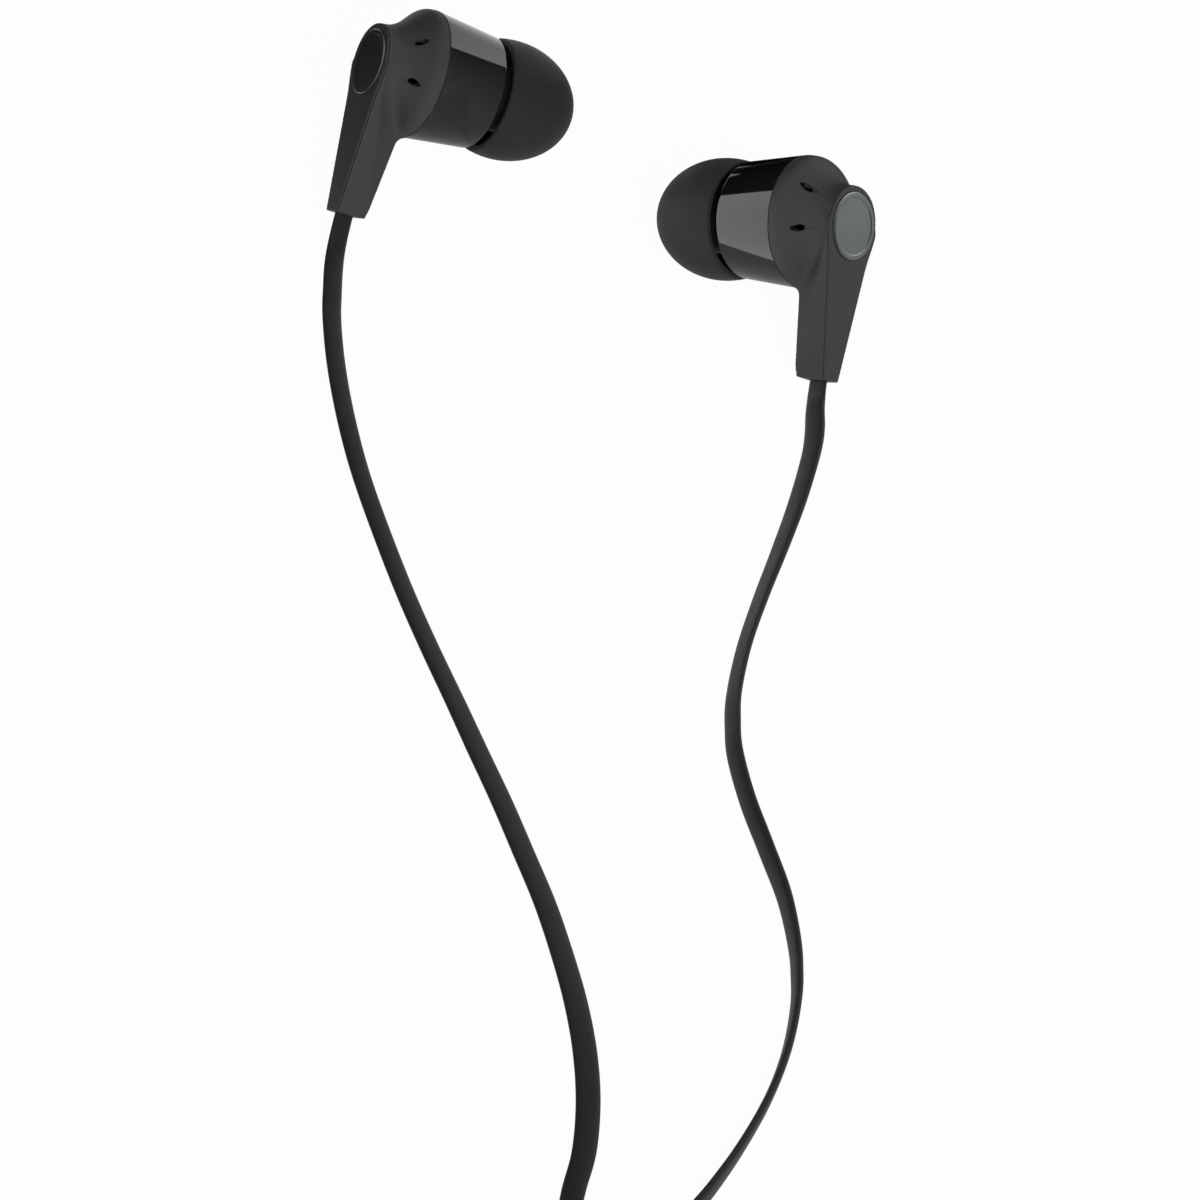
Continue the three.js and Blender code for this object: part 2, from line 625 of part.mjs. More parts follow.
function magnetPot() {
  const back = driverBack();
  const front = back + POT_LENGTH;
  const inner = POT_RADIUS - POT_WALL;
  return turned([[back, 0], [back, POT_RADIUS], [front, POT_RADIUS], [front, inner], [back + POT_WALL, inner],
    [back + POT_WALL, 0]], 20);
}

function magnetFrom() {
  return driverBack() + POT_WALL + SNUG;
}

function driverMagnet() {
  return disc(magnetFrom(), magnetFrom() + MAGNET_THICKNESS, MAGNET_RADIUS, 24);
}

function polePlate() {
  const from = magnetFrom() + MAGNET_THICKNESS + SNUG;
  return disc(from, from + PLATE_THICKNESS, PLATE_RADIUS, 24);
}

function voiceCoilRadius() {
  return (PLATE_RADIUS + POT_RADIUS - POT_WALL) / 2;
}

function diaphragmFrom() {
  return driverBack() + DRIVER_LENGTH - FILM_DEPTH;
}

function voiceCoil() {
  const middle = voiceCoilRadius();
  const front = diaphragmFrom() - SNUG;
  return ring(front - COIL_HEIGHT, front, middle - COIL_WALL / 2, middle + COIL_WALL / 2, 20);
}

// A thin film with a raised middle and one roll around it.
function diaphragm() {
  const base = diaphragmFrom();
  const rim = DRIVER_RADIUS - BASKET_WALL - FIT;
  const middle = voiceCoilRadius() + 0.1;
  const roll = (middle + rim) / 2;
  const heights = [[0, DOME_RISE], [middle * 0.6, DOME_RISE * 0.7], [middle, 0], [roll, DOME_RISE], [rim, 0]];
  const back = heights.map(([radius, height]) => [base + height, radius]);
  const front = heights.map(([radius, height]) => [base + height + DIAPHRAGM_THICKNESS, radius]).reverse();
  return turned([...back, ...front], 18);
}

function terminalBoard() {
  const [thickness, width, height] = BOARD_SIZE;
  const front = driverBack() - SNUG;
  return box(front - thickness, front, width, -height / 2, height / 2);
}

// ---------------------------------------------------------------- flat cord
// Outline of the flat cord across [width, thickness], with its corners cut.
function cordOutline(sides) {
  const [w, t] = [CORD_WIDTH / 2, CORD_THICKNESS / 2];
  const cut = sides === 8 ? 0.3 * CORD_THICKNESS : t;
  const quarter = sides === 8 ? [[w, t - cut], [w - cut, t]] : [[w, 0], [w - cut, t]];
  const upper = [...quarter, ...quarter.map(([x, y]) => [-x, y]).reverse()];
  if (sides === 8) return [...upper, ...upper.map(([x, y]) => [-x, -y])];
  return [...upper, [-w + cut, -t], [w - cut, -t]];
}

// How high the middle of the cord lies above the table when it is rolled by turn degrees.
function restHeight(turn) {
  const [sine, cosine] = [Math.sin(THREE.MathUtils.degToRad(turn)), Math.cos(THREE.MathUtils.degToRad(turn))];
  return Math.max(...cordOutline(8).map(([x, y]) => x * sine + y * cosine));
}

// Sideways and upward directions of a cord that runs along a direction.
function cordFrame(along) {
  const across = new THREE.Vector3(-along.y, along.x, 0).normalize();
  const rise = new THREE.Vector3().crossVectors(along, across);
  return [across, rise];
}

// A cord through rows of {at, turn, along}, one unbroken tube.
function cordTube(stations, sides) {
  const outline = cordOutline(sides);
  const rings = stations.map(({ at, turn, along }) => {
    const [across, rise] = cordFrame(along);
    const [sine, cosine] = [Math.sin(turn), Math.cos(turn)];
    const wide = across.clone().multiplyScalar(cosine).addScaledVector(rise, sine);
    const thin = across.clone().multiplyScalar(-sine).addScaledVector(rise, cosine);
    return outline.map(([x, y]) => at.clone().addScaledVector(wide, x).addScaledVector(thin, y));
  });
  return { geometry: skinned(rings), rings };
}

// A free stretch of cord through hand-laid points of [x, y, turn, height].
function freeCord(points, steps, ends = {}) {
  const places = points.map(([x, y, turn, height]) => new THREE.Vector3(x, y, height ?? restHeight(turn)));
  const turns = points.map((point) => THREE.MathUtils.degToRad(point[2]));
  const curve = new THREE.CatmullRomCurve3(places, false, "centripetal");
  const stations = [];
  for (let i = 0; i <= steps; i += 1) {
    const t = i / steps;
    const spot = Math.min(Math.floor(t * (turns.length - 1)), turns.length - 2);
    const share = t * (turns.length - 1) - spot;
    const turn = turns[spot] + (turns[spot + 1] - turns[spot]) * share;
    const at = curve.getPoint(t);
    at.z = Math.max(at.z, restHeight(THREE.MathUtils.radToDeg(turn)));
    stations.push({ at, turn, along: curve.getTangent(t) });
  }
  if (ends.first) stations[0].along = ends.first;
  if (ends.last) stations.at(-1).along = ends.last;
  return cordTube(stations, 8).geometry;
}

const DOWN_THE_TABLE = new THREE.Vector3(0, -1, 0);
const UP_THE_TABLE = new THREE.Vector3(0, 1, 0);
const ON_EDGE = 90;
const COIL_CLIMB = CORD_WIDTH + COIL_LAYER_GAP;

// Middle line of a coil of two layers: it spirals in on the lower one, climbs in the half turn where it
// reverses, and spirals out on the upper one. The cord stands on its edge and its ends run straight.
function coilStations(coil, radius, turns, base) {
  const steps = Math.round(turns * TURN_STEPS);
  const stations = [];
  for (let i = 0; i <= steps; i += 1) {
    const turned = i / TURN_STEPS;
    const angle = THREE.MathUtils.degToRad(coil.start) + coil.sense * turned * 2 * Math.PI;
    const r = radius - COIL_PITCH * Math.min(turned, turns - turned);
    const climb = COIL_CLIMB * THREE.MathUtils.smoothstep(turned, turns / 2 - 0.25, turns / 2 + 0.25);
    const at = new THREE.Vector3(coil.x + r * Math.cos(angle), coil.y + r * Math.sin(angle), 0);
    at.z = base + CORD_WIDTH / 2 + climb;
    const along = new THREE.Vector3(-Math.sin(angle), Math.cos(angle), 0).multiplyScalar(coil.sense);
    stations.push({ at, turn: Math.PI / 2, along });
  }
  const straight = (station, distance) => {
    return { ...station, at: station.at.clone().addScaledVector(station.along, distance) };
  };
  return [straight(stations[0], -CORD_WIDTH), ...stations, straight(stations.at(-1), CORD_WIDTH)];
}

// Least distance between the corners of turns that lie side by side.
function leastSelfGap(rings) {
  let least = Infinity;
  const apart = TURN_STEPS / 2;
  for (let i = 0; i < rings.length; i += 1) {
    for (let j = i + apart; j < rings.length; j += 1) {
      for (const p of rings[i]) {
        for (const q of rings[j]) least = Math.min(least, p.distanceTo(q));
      }
    }
  }
  return least;
}

function cordCoil(name, coil, radius, turns, base) {
  const { geometry, rings } = cordTube(coilStations(coil, radius, turns, base), 6);
  console.log(`${name}: least gap between its turns ${leastSelfGap(rings).toFixed(2)} mm`);
  return geometry;
}

// Where a coil's straight ends stop.
function coilEnds(coil, radius, turns, base) {
  const stations = coilStations(coil, radius, turns, base);
  return [stations[0], stations.at(-1)];
}

// ---------------------------------------------------------------- splitter, tie and plug
const SPLITTER_BOTTOM = SPLITTER_TOP - SPLITTER_LENGTH;
const CORD_LEVEL = SPLITTER_HEIGHT / 2;
const MAIN_BASE = CORD_LEVEL - CORD_WIDTH / 2;
const PLUG_LEVEL = PLUG_GRIP_RADIUS + 0.1;

function ySplitter() {
  const [top, neck] = [SPLITTER_WIDTH / 2 - SPLITTER_EDGE, SPLITTER_NECK / 2 - SPLITTER_EDGE];
  const half = SPLITTER_LENGTH / 2 - SPLITTER_EDGE;
  const shape = new THREE.Shape();
  shape.moveTo(-top, half);
  shape.lineTo(top, half);
  shape.lineTo(top, half * 0.35);
  shape.bezierCurveTo(top, -half * 0.2, neck, -half * 0.1, neck, -half * 0.6);
  shape.lineTo(neck, -half);
  shape.lineTo(-neck, -half);
  shape.lineTo(-neck, -half * 0.6);
  shape.bezierCurveTo(-neck, -half * 0.1, -top, -half * 0.2, -top, half * 0.35);
  shape.closePath();
  const options = { depth: SPLITTER_HEIGHT - 2 * SPLITTER_EDGE, curveSegments: 5 };
  Object.assign(options, { bevelThickness: SPLITTER_EDGE, bevelSize: SPLITTER_EDGE, bevelSegments: 2 });
  const body = new THREE.ExtrudeGeometry(shape, options);
  return body.translate(0, (SPLITTER_TOP + SPLITTER_BOTTOM) / 2, SPLITTER_EDGE);
}

// A strap round all the turns of the main coil, at the side away from the earbuds.
function cordTie() {
  const outer = MAIN_COIL_RADIUS + CORD_THICKNESS / 2 + FIT;
  const innermost = MAIN_COIL_RADIUS - (COIL_PITCH * MAIN_TURNS) / 2 - CORD_THICKNESS / 2;
  const inner = Math.sqrt(innermost ** 2 - (TIE_WIDTH / 2) ** 2) - FIT;
  const top = MAIN_BASE + CORD_WIDTH + COIL_CLIMB + FIT;
  const bottom = MAIN_BASE - FIT;
  const band = new THREE.Shape();
  const [left, right] = [inner - TIE_THICKNESS, outer + TIE_THICKNESS];
  outlineBox(band, left, bottom - TIE_THICKNESS, right, top + TIE_THICKNESS, 2 * TIE_THICKNESS);
  const hole = new THREE.Path();
  outlineBox(hole, inner, bottom, outer, top, TIE_THICKNESS);
  band.holes.push(hole);
  const strap = new THREE.ExtrudeGeometry(band, { depth: TIE_WIDTH, bevelEnabled: false, curveSegments: 2 });
  strap.translate(0, 0, -TIE_WIDTH / 2).rotateX(Math.PI / 2).rotateZ(-Math.PI / 2);
  return strap.translate(MAIN_COIL.x, MAIN_COIL.y, 0);
}

// A rectangle with round corners.
function outlineBox(path, left, bottom, right, top, corner) {
  path.moveTo(left + corner, bottom);
  path.lineTo(right - corner, bottom);
  path.absarc(right - corner, bottom + corner, corner, -Math.PI / 2, 0, false);
  path.lineTo(right, top - corner);
  path.absarc(right - corner, top - corner, corner, 0, Math.PI / 2, false);
  path.lineTo(left + corner, top);
  path.absarc(left + corner, top - corner, corner, Math.PI / 2, Math.PI, false);
  path.lineTo(left, bottom + corner);
  path.absarc(left + corner, bottom + corner, corner, Math.PI, 1.5 * Math.PI, false);
}

// The plug's pieces lie along +X from the end of the cord.
const GRIP_FROM = PLUG_BOOT_LENGTH + FIT;
const PIN_FROM = GRIP_FROM + PLUG_GRIP_LENGTH + SNUG;
const RING_CONTACT = 2.6;
const TIP_CONTACT = 3.9;
const INSULATOR = 0.6;
const SLEEVE_CONTACT = PLUG_PIN_LENGTH - RING_CONTACT - TIP_CONTACT - 2 * INSULATOR - 4 * SNUG;

function plugBoot() {
  const outline = [[0, 0], [0, PLUG_BOOT_RADIUS]];
  const spacing = (PLUG_BOOT_LENGTH - BOOT_RIB_FROM) / BOOT_RIBS;
  const spread = PLUG_GRIP_RADIUS - BOOT_STEP - PLUG_BOOT_RADIUS;
  const radiusAt = (x) => PLUG_BOOT_RADIUS + (spread * x) / PLUG_BOOT_LENGTH;
  for (let i = 0; i < BOOT_RIBS; i += 1) {
    const from = BOOT_RIB_FROM + spacing * i;
    const to = from + spacing * BOOT_GROOVE;
    outline.push([from, radiusAt(from)], [from, radiusAt(from) - BOOT_GROOVE]);
    outline.push([to, radiusAt(to) - BOOT_GROOVE], [to, radiusAt(to)]);
  }
  outline.push([PLUG_BOOT_LENGTH, radiusAt(PLUG_BOOT_LENGTH)], [PLUG_BOOT_LENGTH, 0]);
  return turned(outline, 14);
}

function plugGrip() {
  const [from, to] = [GRIP_FROM, GRIP_FROM + PLUG_GRIP_LENGTH];
  const [radius, edge] = [PLUG_GRIP_RADIUS, PLUG_EDGE];
  const groove = to - GRIP_GROOVE.from;
  const grooveEnd = groove + GRIP_GROOVE.width;
  return turned([
    [from, 0], [from, radius - edge], [from + edge, radius], [groove, radius],
    [groove, radius - GRIP_GROOVE.depth], [grooveEnd, radius - GRIP_GROOVE.depth], [grooveEnd, radius],
    [to - edge, radius], [to, radius - edge], [to, 0],
  ], 20);
}

function contactRing(from, length) {
  return ring(from, from + length, PLUG_CORE_RADIUS + SNUG, PLUG_RADIUS, 16);
}

const SLEEVE_TO = PIN_FROM + SLEEVE_CONTACT;
const RING_FROM = SLEEVE_TO + 2 * SNUG + INSULATOR;
const RING_TO = RING_FROM + RING_CONTACT;
const TIP_FROM = RING_TO + 2 * SNUG + INSULATOR;

function plugTip() {
  const end = TIP_FROM + TIP_CONTACT;
  const neck = PLUG_RADIUS * 0.72;
  return turned([
    [PIN_FROM, 0], [PIN_FROM, PLUG_CORE_RADIUS], [TIP_FROM, PLUG_CORE_RADIUS], [TIP_FROM, PLUG_RADIUS],
    [TIP_FROM + 0.5, PLUG_RADIUS], [TIP_FROM + 1.1, neck], [TIP_FROM + 1.8, PLUG_RADIUS], [end - 0.5, neck * 0.7],
    [end, 0.3], [end, 0],
  ], 16);
}

const PLUG_PIECES = {
  plug_boot: [plugBoot, MOULDED_RUBBER],
  plug_grip: [plugGrip, BLACK_PLASTIC],
  plug_sleeve_contact: [() => contactRing(PIN_FROM, SLEEVE_CONTACT), GOLD],
  plug_rear_insulator: [() => contactRing(SLEEVE_TO + SNUG, INSULATOR), BLACK_PLASTIC],
  plug_ring_contact: [() => contactRing(RING_FROM, RING_CONTACT), GOLD],
  plug_front_insulator: [() => contactRing(RING_TO + SNUG, INSULATOR), BLACK_PLASTIC],
  plug_tip_contact: [plugTip, GOLD],
};

// ---------------------------------------------------------------- earbud
const EARBUD_PIECES = {
  rear_housing: [rearHousing, MATTE_SHELL],
  back_cover: [backCover, MATTE_SHELL],
  badge: [badge, BADGE_METAL],
  cord_grip: [cordGrip, MOULDED_RUBBER],
  front_barrel: [frontBarrel, GLOSS_SHELL],
  nozzle_mesh: [nozzleMesh, STEEL],
  acoustic_damper: [acousticDamper, FOAM],
  ear_tip: [earTip, SILICONE],
  driver_frame: [driverFrame, BLACK_PLASTIC],
  magnet_pot: [magnetPot, STEEL],
  driver_magnet: [driverMagnet, MAGNET_PLATE],
  pole_plate: [polePlate, STEEL],
  voice_coil: [voiceCoil, COPPER],
  diaphragm: [diaphragm, FILM],
  terminal_board: [terminalBoard, CIRCUIT],
};

function part(name, geometry, material) {
  const mesh = new THREE.Mesh(closed(geometry), material);
  mesh.name = name;
  return mesh;
}

// The lowest point of the ear tip rests on the table.
function earbud(side, place) {
  const group = new THREE.Group();
  for (const [name, [make, material]] of Object.entries(EARBUD_PIECES)) {
    group.add(part(`${side}_${name}`, make(), material));
  }
  const turn = THREE.MathUtils.degToRad;
  group.rotation.set(turn(place.roll), turn(place.dip), turn(place.heading), "ZYX");
  group.position.set(place.x, place.y, 0);
  group.updateMatrixWorld(true);
  const bounds = new THREE.Box3().setFromObject(group.getObjectByName(`${side}_ear_tip`), true);
  group.position.z = -bounds.min.z;
  group.updateMatrixWorld(true);
  return group;
}

// Where a stem's cord comes out: its place, direction and the cord's roll, which follows the stem.
function stemExit(bud) {
  const at = bud.localToWorld(new THREE.Vector3(-cordDepth(), 0, -STEM_END - FIT));
  const along = new THREE.Vector3(0, 0, -1).transformDirection(bud.matrixWorld);
  const barrel = new THREE.Vector3(1, 0, 0).transformDirection(bud.matrixWorld);
  const [across, rise] = cordFrame(along);
  const roll = Math.atan2(barrel.dot(rise), barrel.dot(across));
  const turn = THREE.MathUtils.radToDeg(roll);
  return { at, along, turn: turn < -ON_EDGE ? turn + 2 * ON_EDGE : turn };
}

// One earbud's cord: from the stem to its coil, the coil, and the tail that reaches the splitter.
function branch(side, bud, drop, route, coil, lane) {
  const exit = stemExit(bud);
  const [entry, leave] = coilEnds(coil, BRANCH_COIL_RADIUS, BRANCH_TURNS, 0);
  const start = [exit.at.x, exit.at.y, exit.turn, exit.at.z];
  const end = [entry.at.x, entry.at.y + FIT, ON_EDGE, entry.at.z];
  const free = freeCord([start, ...drop, ...route, end], 34, { first: exit.along, last: DOWN_THE_TABLE });
  const [x, y, z] = leave.at.toArray();
  const tail = [
    [x, y - FIT, ON_EDGE, z],
    [x, y - TAIL_LEVEL, ON_EDGE, z - SAG],
    [(x + lane) / 2, y - TAIL_BEND.along, ON_EDGE, z - TAIL_BEND.drop],
    [lane, SPLITTER_TOP + TAIL_LEVEL, ON_EDGE, CORD_LEVEL + SAG],
    [lane, SPLITTER_TOP + FIT, ON_EDGE, CORD_LEVEL],
  ];
  return [
    part(`${side}_cord`, free, CORD_SKIN),
    part(`${side}_cord_coil`, cordCoil(`${side}_cord_coil`, coil, BRANCH_COIL_RADIUS, BRANCH_TURNS, 0), CORD_SKIN),
    part(`${side}_cord_tail`, freeCord(tail, 5, { first: DOWN_THE_TABLE, last: DOWN_THE_TABLE }), CORD_SKIN),
  ];
}

// The cord from the splitter to the plug.
function mainCord() {
  const [entry, leave] = coilEnds(MAIN_COIL, MAIN_COIL_RADIUS, MAIN_TURNS, MAIN_BASE);
  const stand = ([x, y]) => [x, y, ON_EDGE, CORD_LEVEL];
  const lead = [
    stand([0, SPLITTER_BOTTOM - FIT]), ...MAIN_ROUTE.map(stand), [entry.at.x, entry.at.y + FIT, ON_EDGE, entry.at.z],
  ];
  const [x, y, z] = leave.at.toArray();
  const plugFrom = y + FIT + PLUG_LEAD;
  const end = [
    [x, y + FIT, ON_EDGE, z],
    [x, y + LEVEL_RUN * PLUG_LEAD, ON_EDGE, z - SAG],
    [x, plugFrom - LEVEL_RUN * PLUG_LEAD, ON_EDGE, PLUG_LEVEL + SAG],
    [x, plugFrom, ON_EDGE, PLUG_LEVEL],
  ];
  const coil = cordCoil("main_cord_coil", MAIN_COIL, MAIN_COIL_RADIUS, MAIN_TURNS, MAIN_BASE);
  const pieces = [
    part("main_cord", freeCord(lead, 8, { first: DOWN_THE_TABLE, last: DOWN_THE_TABLE }), CORD_SKIN),
    part("main_cord_coil", coil, CORD_SKIN),
    part("main_cord_end", freeCord(end, 4, { first: UP_THE_TABLE, last: UP_THE_TABLE }), CORD_SKIN),
  ];
  const plug = new THREE.Group();
  for (const [name, [make, material]] of Object.entries(PLUG_PIECES)) plug.add(part(name, make(), material));
  plug.rotation.z = Math.PI / 2;
  plug.position.set(x, plugFrom + FIT, PLUG_LEVEL);
  return [...pieces, plug];
}

function earphones() {
  const all = new THREE.Group();
  const left = earbud("left", LEFT_PLACE);
  const right = earbud("right", RIGHT_PLACE);
  all.add(left, right);
  all.add(...branch("left", left, LEFT_DROP, LEFT_ROUTE, LEFT_COIL, -BRANCH_SPACING / 2));
  all.add(...branch("right", right, RIGHT_DROP, RIGHT_ROUTE, RIGHT_COIL, BRANCH_SPACING / 2));
  all.add(part("y_splitter", ySplitter(), MOULDED_RUBBER));
  all.add(part("cord_tie", cordTie(), MOULDED_RUBBER));
  all.add(...mainCord());
  return all;
}

export default earphones();
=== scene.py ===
"""Dresses a packed pair of wired in-ear earphones.

Two angled earbuds lie on a pale floor, each on its ear tip. Flat cords run from them to a splitter,
and a main cord runs on to a 3.5 mm plug. The earbud is modelled once in its own frame in
millimetres (+X along the barrel, -Z down the stem) and copied to both places.
"""
import logging
import math
from collections.abc import Callable, Iterator
from contextlib import contextmanager
from dataclasses import dataclass, field
from enum import Enum

import bmesh
import bpy
import numpy as np
from mathutils import Matrix, Vector


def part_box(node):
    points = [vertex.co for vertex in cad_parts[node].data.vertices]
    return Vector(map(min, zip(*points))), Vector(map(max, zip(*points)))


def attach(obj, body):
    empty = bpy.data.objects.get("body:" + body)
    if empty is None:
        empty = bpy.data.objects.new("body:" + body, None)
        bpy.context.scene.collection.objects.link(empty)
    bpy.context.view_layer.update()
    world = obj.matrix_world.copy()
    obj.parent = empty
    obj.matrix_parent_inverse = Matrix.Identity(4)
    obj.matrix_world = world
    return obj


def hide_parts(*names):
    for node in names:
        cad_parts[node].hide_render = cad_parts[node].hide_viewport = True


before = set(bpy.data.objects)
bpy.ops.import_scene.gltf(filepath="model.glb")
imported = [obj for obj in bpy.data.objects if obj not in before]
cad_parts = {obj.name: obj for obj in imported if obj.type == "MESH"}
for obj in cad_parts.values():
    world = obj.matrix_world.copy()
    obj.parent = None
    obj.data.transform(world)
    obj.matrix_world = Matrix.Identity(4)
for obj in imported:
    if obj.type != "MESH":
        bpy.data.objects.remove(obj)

logging.basicConfig(level=logging.INFO, format="%(message)s")
log = logging.getLogger("earphones")

Piece = bpy.types.Object
Tree = bpy.types.NodeTree
Socket = bpy.types.NodeSocket
Pair = tuple[float, float]
Triple = tuple[float, float, float]
Outline = list[Pair]

MM = 0.001
TURN = 2 * math.pi
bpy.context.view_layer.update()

# Sizes that several pieces share, in millimetres: first in the earbud's frame, then on the floor.
SEAM_RADIUS = 7.05
BACK = 5.9
STEM_END = 16.7
CORD_DEPTH = 4.25
BADGE_DROP = 0.28
SPLITTER_TOP = -183.0
SPLITTER_LENGTH = 13.0
CORD_LEVEL = 1.9
PLUG_AT = (-26.0, -222.0, 3.3)
MAIN_COIL_AT = (-8.0, -235.0)

# Where most values of a noise texture lie, and how many bands a wave texture has in one unit.
NOISE_RANGE = (0.3, 0.7)
WAVE_BANDS = 3.18


class Side(Enum):
    """The two earbuds, by where they lie."""

    LEFT = "left"
    RIGHT = "right"


class Body(Enum):
    """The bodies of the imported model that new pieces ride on."""

    FIXED = "earphones"
    LEFT_TIP = "left_ear_tip"
    RIGHT_TIP = "right_ear_tip"


class Slot(Enum):
    """The record's material slots, listed beside the finishes of new pieces."""

    MATTE_SHELL = "matte_shell"
    GLOSS_SHELL = "gloss_shell"
    BADGE = "badge_metal"
    SILICONE = "silicone"
    CORD = "cord_skin"
    RUBBER = "moulded_rubber"
    PLASTIC = "black_plastic"
    STEEL = "steel"
    GOLD = "gold"


# ---------------------------------------------------------------- nodes and finishes
def linear(code: str) -> tuple[float, float, float, float]:
    """Turns an sRGB hex colour into linear values.

    Args:
        code: six hex digits.

    Returns:
        Red, green, blue and an alpha of 1.
    """
    values = [int(code[i : i + 2], 16) / 255 for i in (0, 2, 4)]
    plain = [v / 12.92 if v <= 0.04045 else ((v + 0.055) / 1.055) ** 2.4 for v in values]
    return (*plain, 1.0)


def add(tree: Tree, kind: str, inputs: dict | None = None, **settings: object) -> bpy.types.Node:
    """Adds one node.

    Args:
        tree: the node tree.
        kind: the node's type.
        inputs: socket names or numbers, each with a value or with another node's output.
        settings: properties of the node itself.

    Returns:
        The new node.
    """
    node = tree.nodes.new(kind)
    for key, value in settings.items():
        setattr(node, key, value)
    for key, value in (inputs or {}).items():
        if isinstance(value, Socket):
            tree.links.new(value, node.inputs[key])
        else:
            node.inputs[key].default_value = value
    return node


def emptied(owner: bpy.types.Material | bpy.types.World) -> Tree:
    """Gives a new material or world an empty node tree."""
    owner.use_nodes = True
    owner.node_tree.nodes.clear()
    return owner.node_tree


@dataclass(frozen=True)
class Finish:
    """A finish with a grain: two close colours, a spread of roughness and a fine bump.

    Sizes are in millimetres on the object.
    """

    name: str
    colour: str
    second: str
    roughness: Pair
    grain: float = 0.15
    bump: float = 0.002
    patch: float = 3.0
    metallic: float = 0.0
    ior: float = 1.5
    specular: float = 0.5
    sheen: float = 0.0
    along_uv: bool = False
    stretch: float = 1.0

    def make(self) -> bpy.types.Material:
        """Builds the material.

        Returns:
            The material, made once for each name.
        """
        if self.name in bpy.data.materials:
            return bpy.data.materials[self.name]
        material = bpy.data.materials.new(self.name)
        tree = emptied(material)
        place = self.place(tree)
        patches = add(tree, "ShaderNodeTexNoise", {"Vector": place, "Scale": 1 / self.patch, "Detail": 3.0})
        grain = add(tree, "ShaderNodeTexNoise", {"Vector": place, "Scale": 1 / self.grain, "Detail": 2.0})
        colours = {0: patches.outputs["Fac"], 6: linear(self.colour), 7: linear(self.second)}
        tint = add(tree, "ShaderNodeMix", colours, data_type="RGBA")
        ends = zip(("From Min", "From Max", "To Min", "To Max"), (*NOISE_RANGE, *self.roughness))
        rough = add(tree, "ShaderNodeMapRange", {"Value": grain.outputs["Fac"], **dict(ends)})
        height = {"Height": self.relief(tree, place, grain), "Strength": 1.0, "Distance": self.bump * MM}
        relief = add(tree, "ShaderNodeBump", height)
        surface = {
            "Base Color": self.pattern(tree, place, tint.outputs[2]),
            "Roughness": rough.outputs["Result"],
            "Metallic": self.metallic,
            "Specular IOR Level": self.specular,
            "Sheen Weight": self.sheen,
            "Sheen Roughness": 0.5,
            "Normal": relief.outputs["Normal"],
        }
        shader = add(tree, "ShaderNodeBsdfPrincipled", surface)
        if self.metallic < 1:
            shader.inputs["IOR"].default_value = self.ior
        add(tree, "ShaderNodeOutputMaterial", {"Surface": shader.outputs["BSDF"]})
        material.diffuse_color = linear(self.colour)
        return material

    def place(self, tree: Tree) -> Socket:
        """Gives the pattern's coordinates in millimetres.

        Args:
            tree: the node tree.

        Returns:
            The vector output to read.
        """
        source = add(tree, "ShaderNodeTexCoord").outputs["UV" if self.along_uv else "Object"]
        scale = (1 / MM / self.stretch, 1 / MM, 1 / MM)
        return add(tree, "ShaderNodeMapping", {"Vector": source, "Scale": scale}).outputs["Vector"]

    def relief(self, tree: Tree, place: Socket, grain: bpy.types.Node) -> Socket:
        """Gives the height that the bump reads: the grain itself."""
        return grain.outputs["Fac"]

    def pattern(self, tree: Tree, place: Socket, tint: Socket) -> Socket:
        """Gives the colour that the shader reads: the tint itself."""
        return tint


@dataclass(frozen=True)
class WovenMesh(Finish):
    """Wire cloth: two crossed rows of round wires, with painted shade in the holes between them."""

    pitch: float = 0.22

    def wires(self, tree: Tree, place: Socket) -> Socket:
        """Gives the height of the crossed wires.

        Args:
            tree: the node tree.
            place: coordinates in millimetres.

        Returns:
            A value from 0 in the holes to 1 on the wires.
        """
        rows = []
        for direction in ("Y", "Z"):
            wave = {"Vector": place, "Scale": 1 / self.pitch / WAVE_BANDS, "Distortion": 0.0}
            rows.append(add(tree, "ShaderNodeTexWave", wave, bands_direction=direction).outputs["Fac"])
        return add(tree, "ShaderNodeMath", {0: rows[0], 1: rows[1]}, operation="MAXIMUM").outputs[0]

    def relief(self, tree: Tree, place: Socket, grain: bpy.types.Node) -> Socket:
        """Gives the height of the wires."""
        return self.wires(tree, place)

    def pattern(self, tree: Tree, place: Socket, tint: Socket) -> Socket:
        """Paints the holes between the wires near black: painted shade for the dark bore seen through them.

        Args:
            tree: the node tree.
            place: coordinates in millimetres.
            tint: the wires' colour.

        Returns:
            The colour with its holes.
        """
        inputs = {0: self.wires(tree, place), 6: linear("060606"), 7: tint}
        return add(tree, "ShaderNodeMix", inputs, data_type="RGBA").outputs[2]


# ABS from a spark-eroded mould: dull, with a soft even grain that is a little shinier in patches.
MATTE_SHELL = Finish(
    "spark_eroded_abs", "3e3e3f", "424243", (0.55, 0.65), grain=0.16, bump=0.0025, patch=4, specular=0.2,
)
# The same ABS from a polished mould: a mirror skin with a very slight waviness.
GLOSS_SHELL = Finish("polished_abs", "1b1c1d", "1f2021", (0.05, 0.08), grain=0.9, bump=0.0008, patch=5)
# The same ABS in the vents' bores, from a plain core pin, in painted shade: its near-black colour stands in
# for the deep shade inside them.
VENT_PAINTED_SHADE = Finish("vent_painted_shade", "060606", "0a0a0a", (0.7, 0.8), grain=0.1, bump=0.002, patch=1)
# Liquid silicone from a fine-blasted mould: soft sheen, faint dust-like patches.
SILICONE = Finish(
    "moulded_silicone", "272728", "2c2c2d", (0.55, 0.68), grain=0.12, bump=0.0015, ior=1.41, specular=0.2,
    sheen=0.05,
)
# Extruded thermoplastic elastomer: a dull skin with faint lines along the cord from the die.
CORD_SKIN = Finish(
    "extruded_elastomer", "1f1f20", "242425", (0.5, 0.62), grain=0.12, bump=0.002, patch=2, ior=1.48,
    specular=0.25, along_uv=True, stretch=14.0,
)
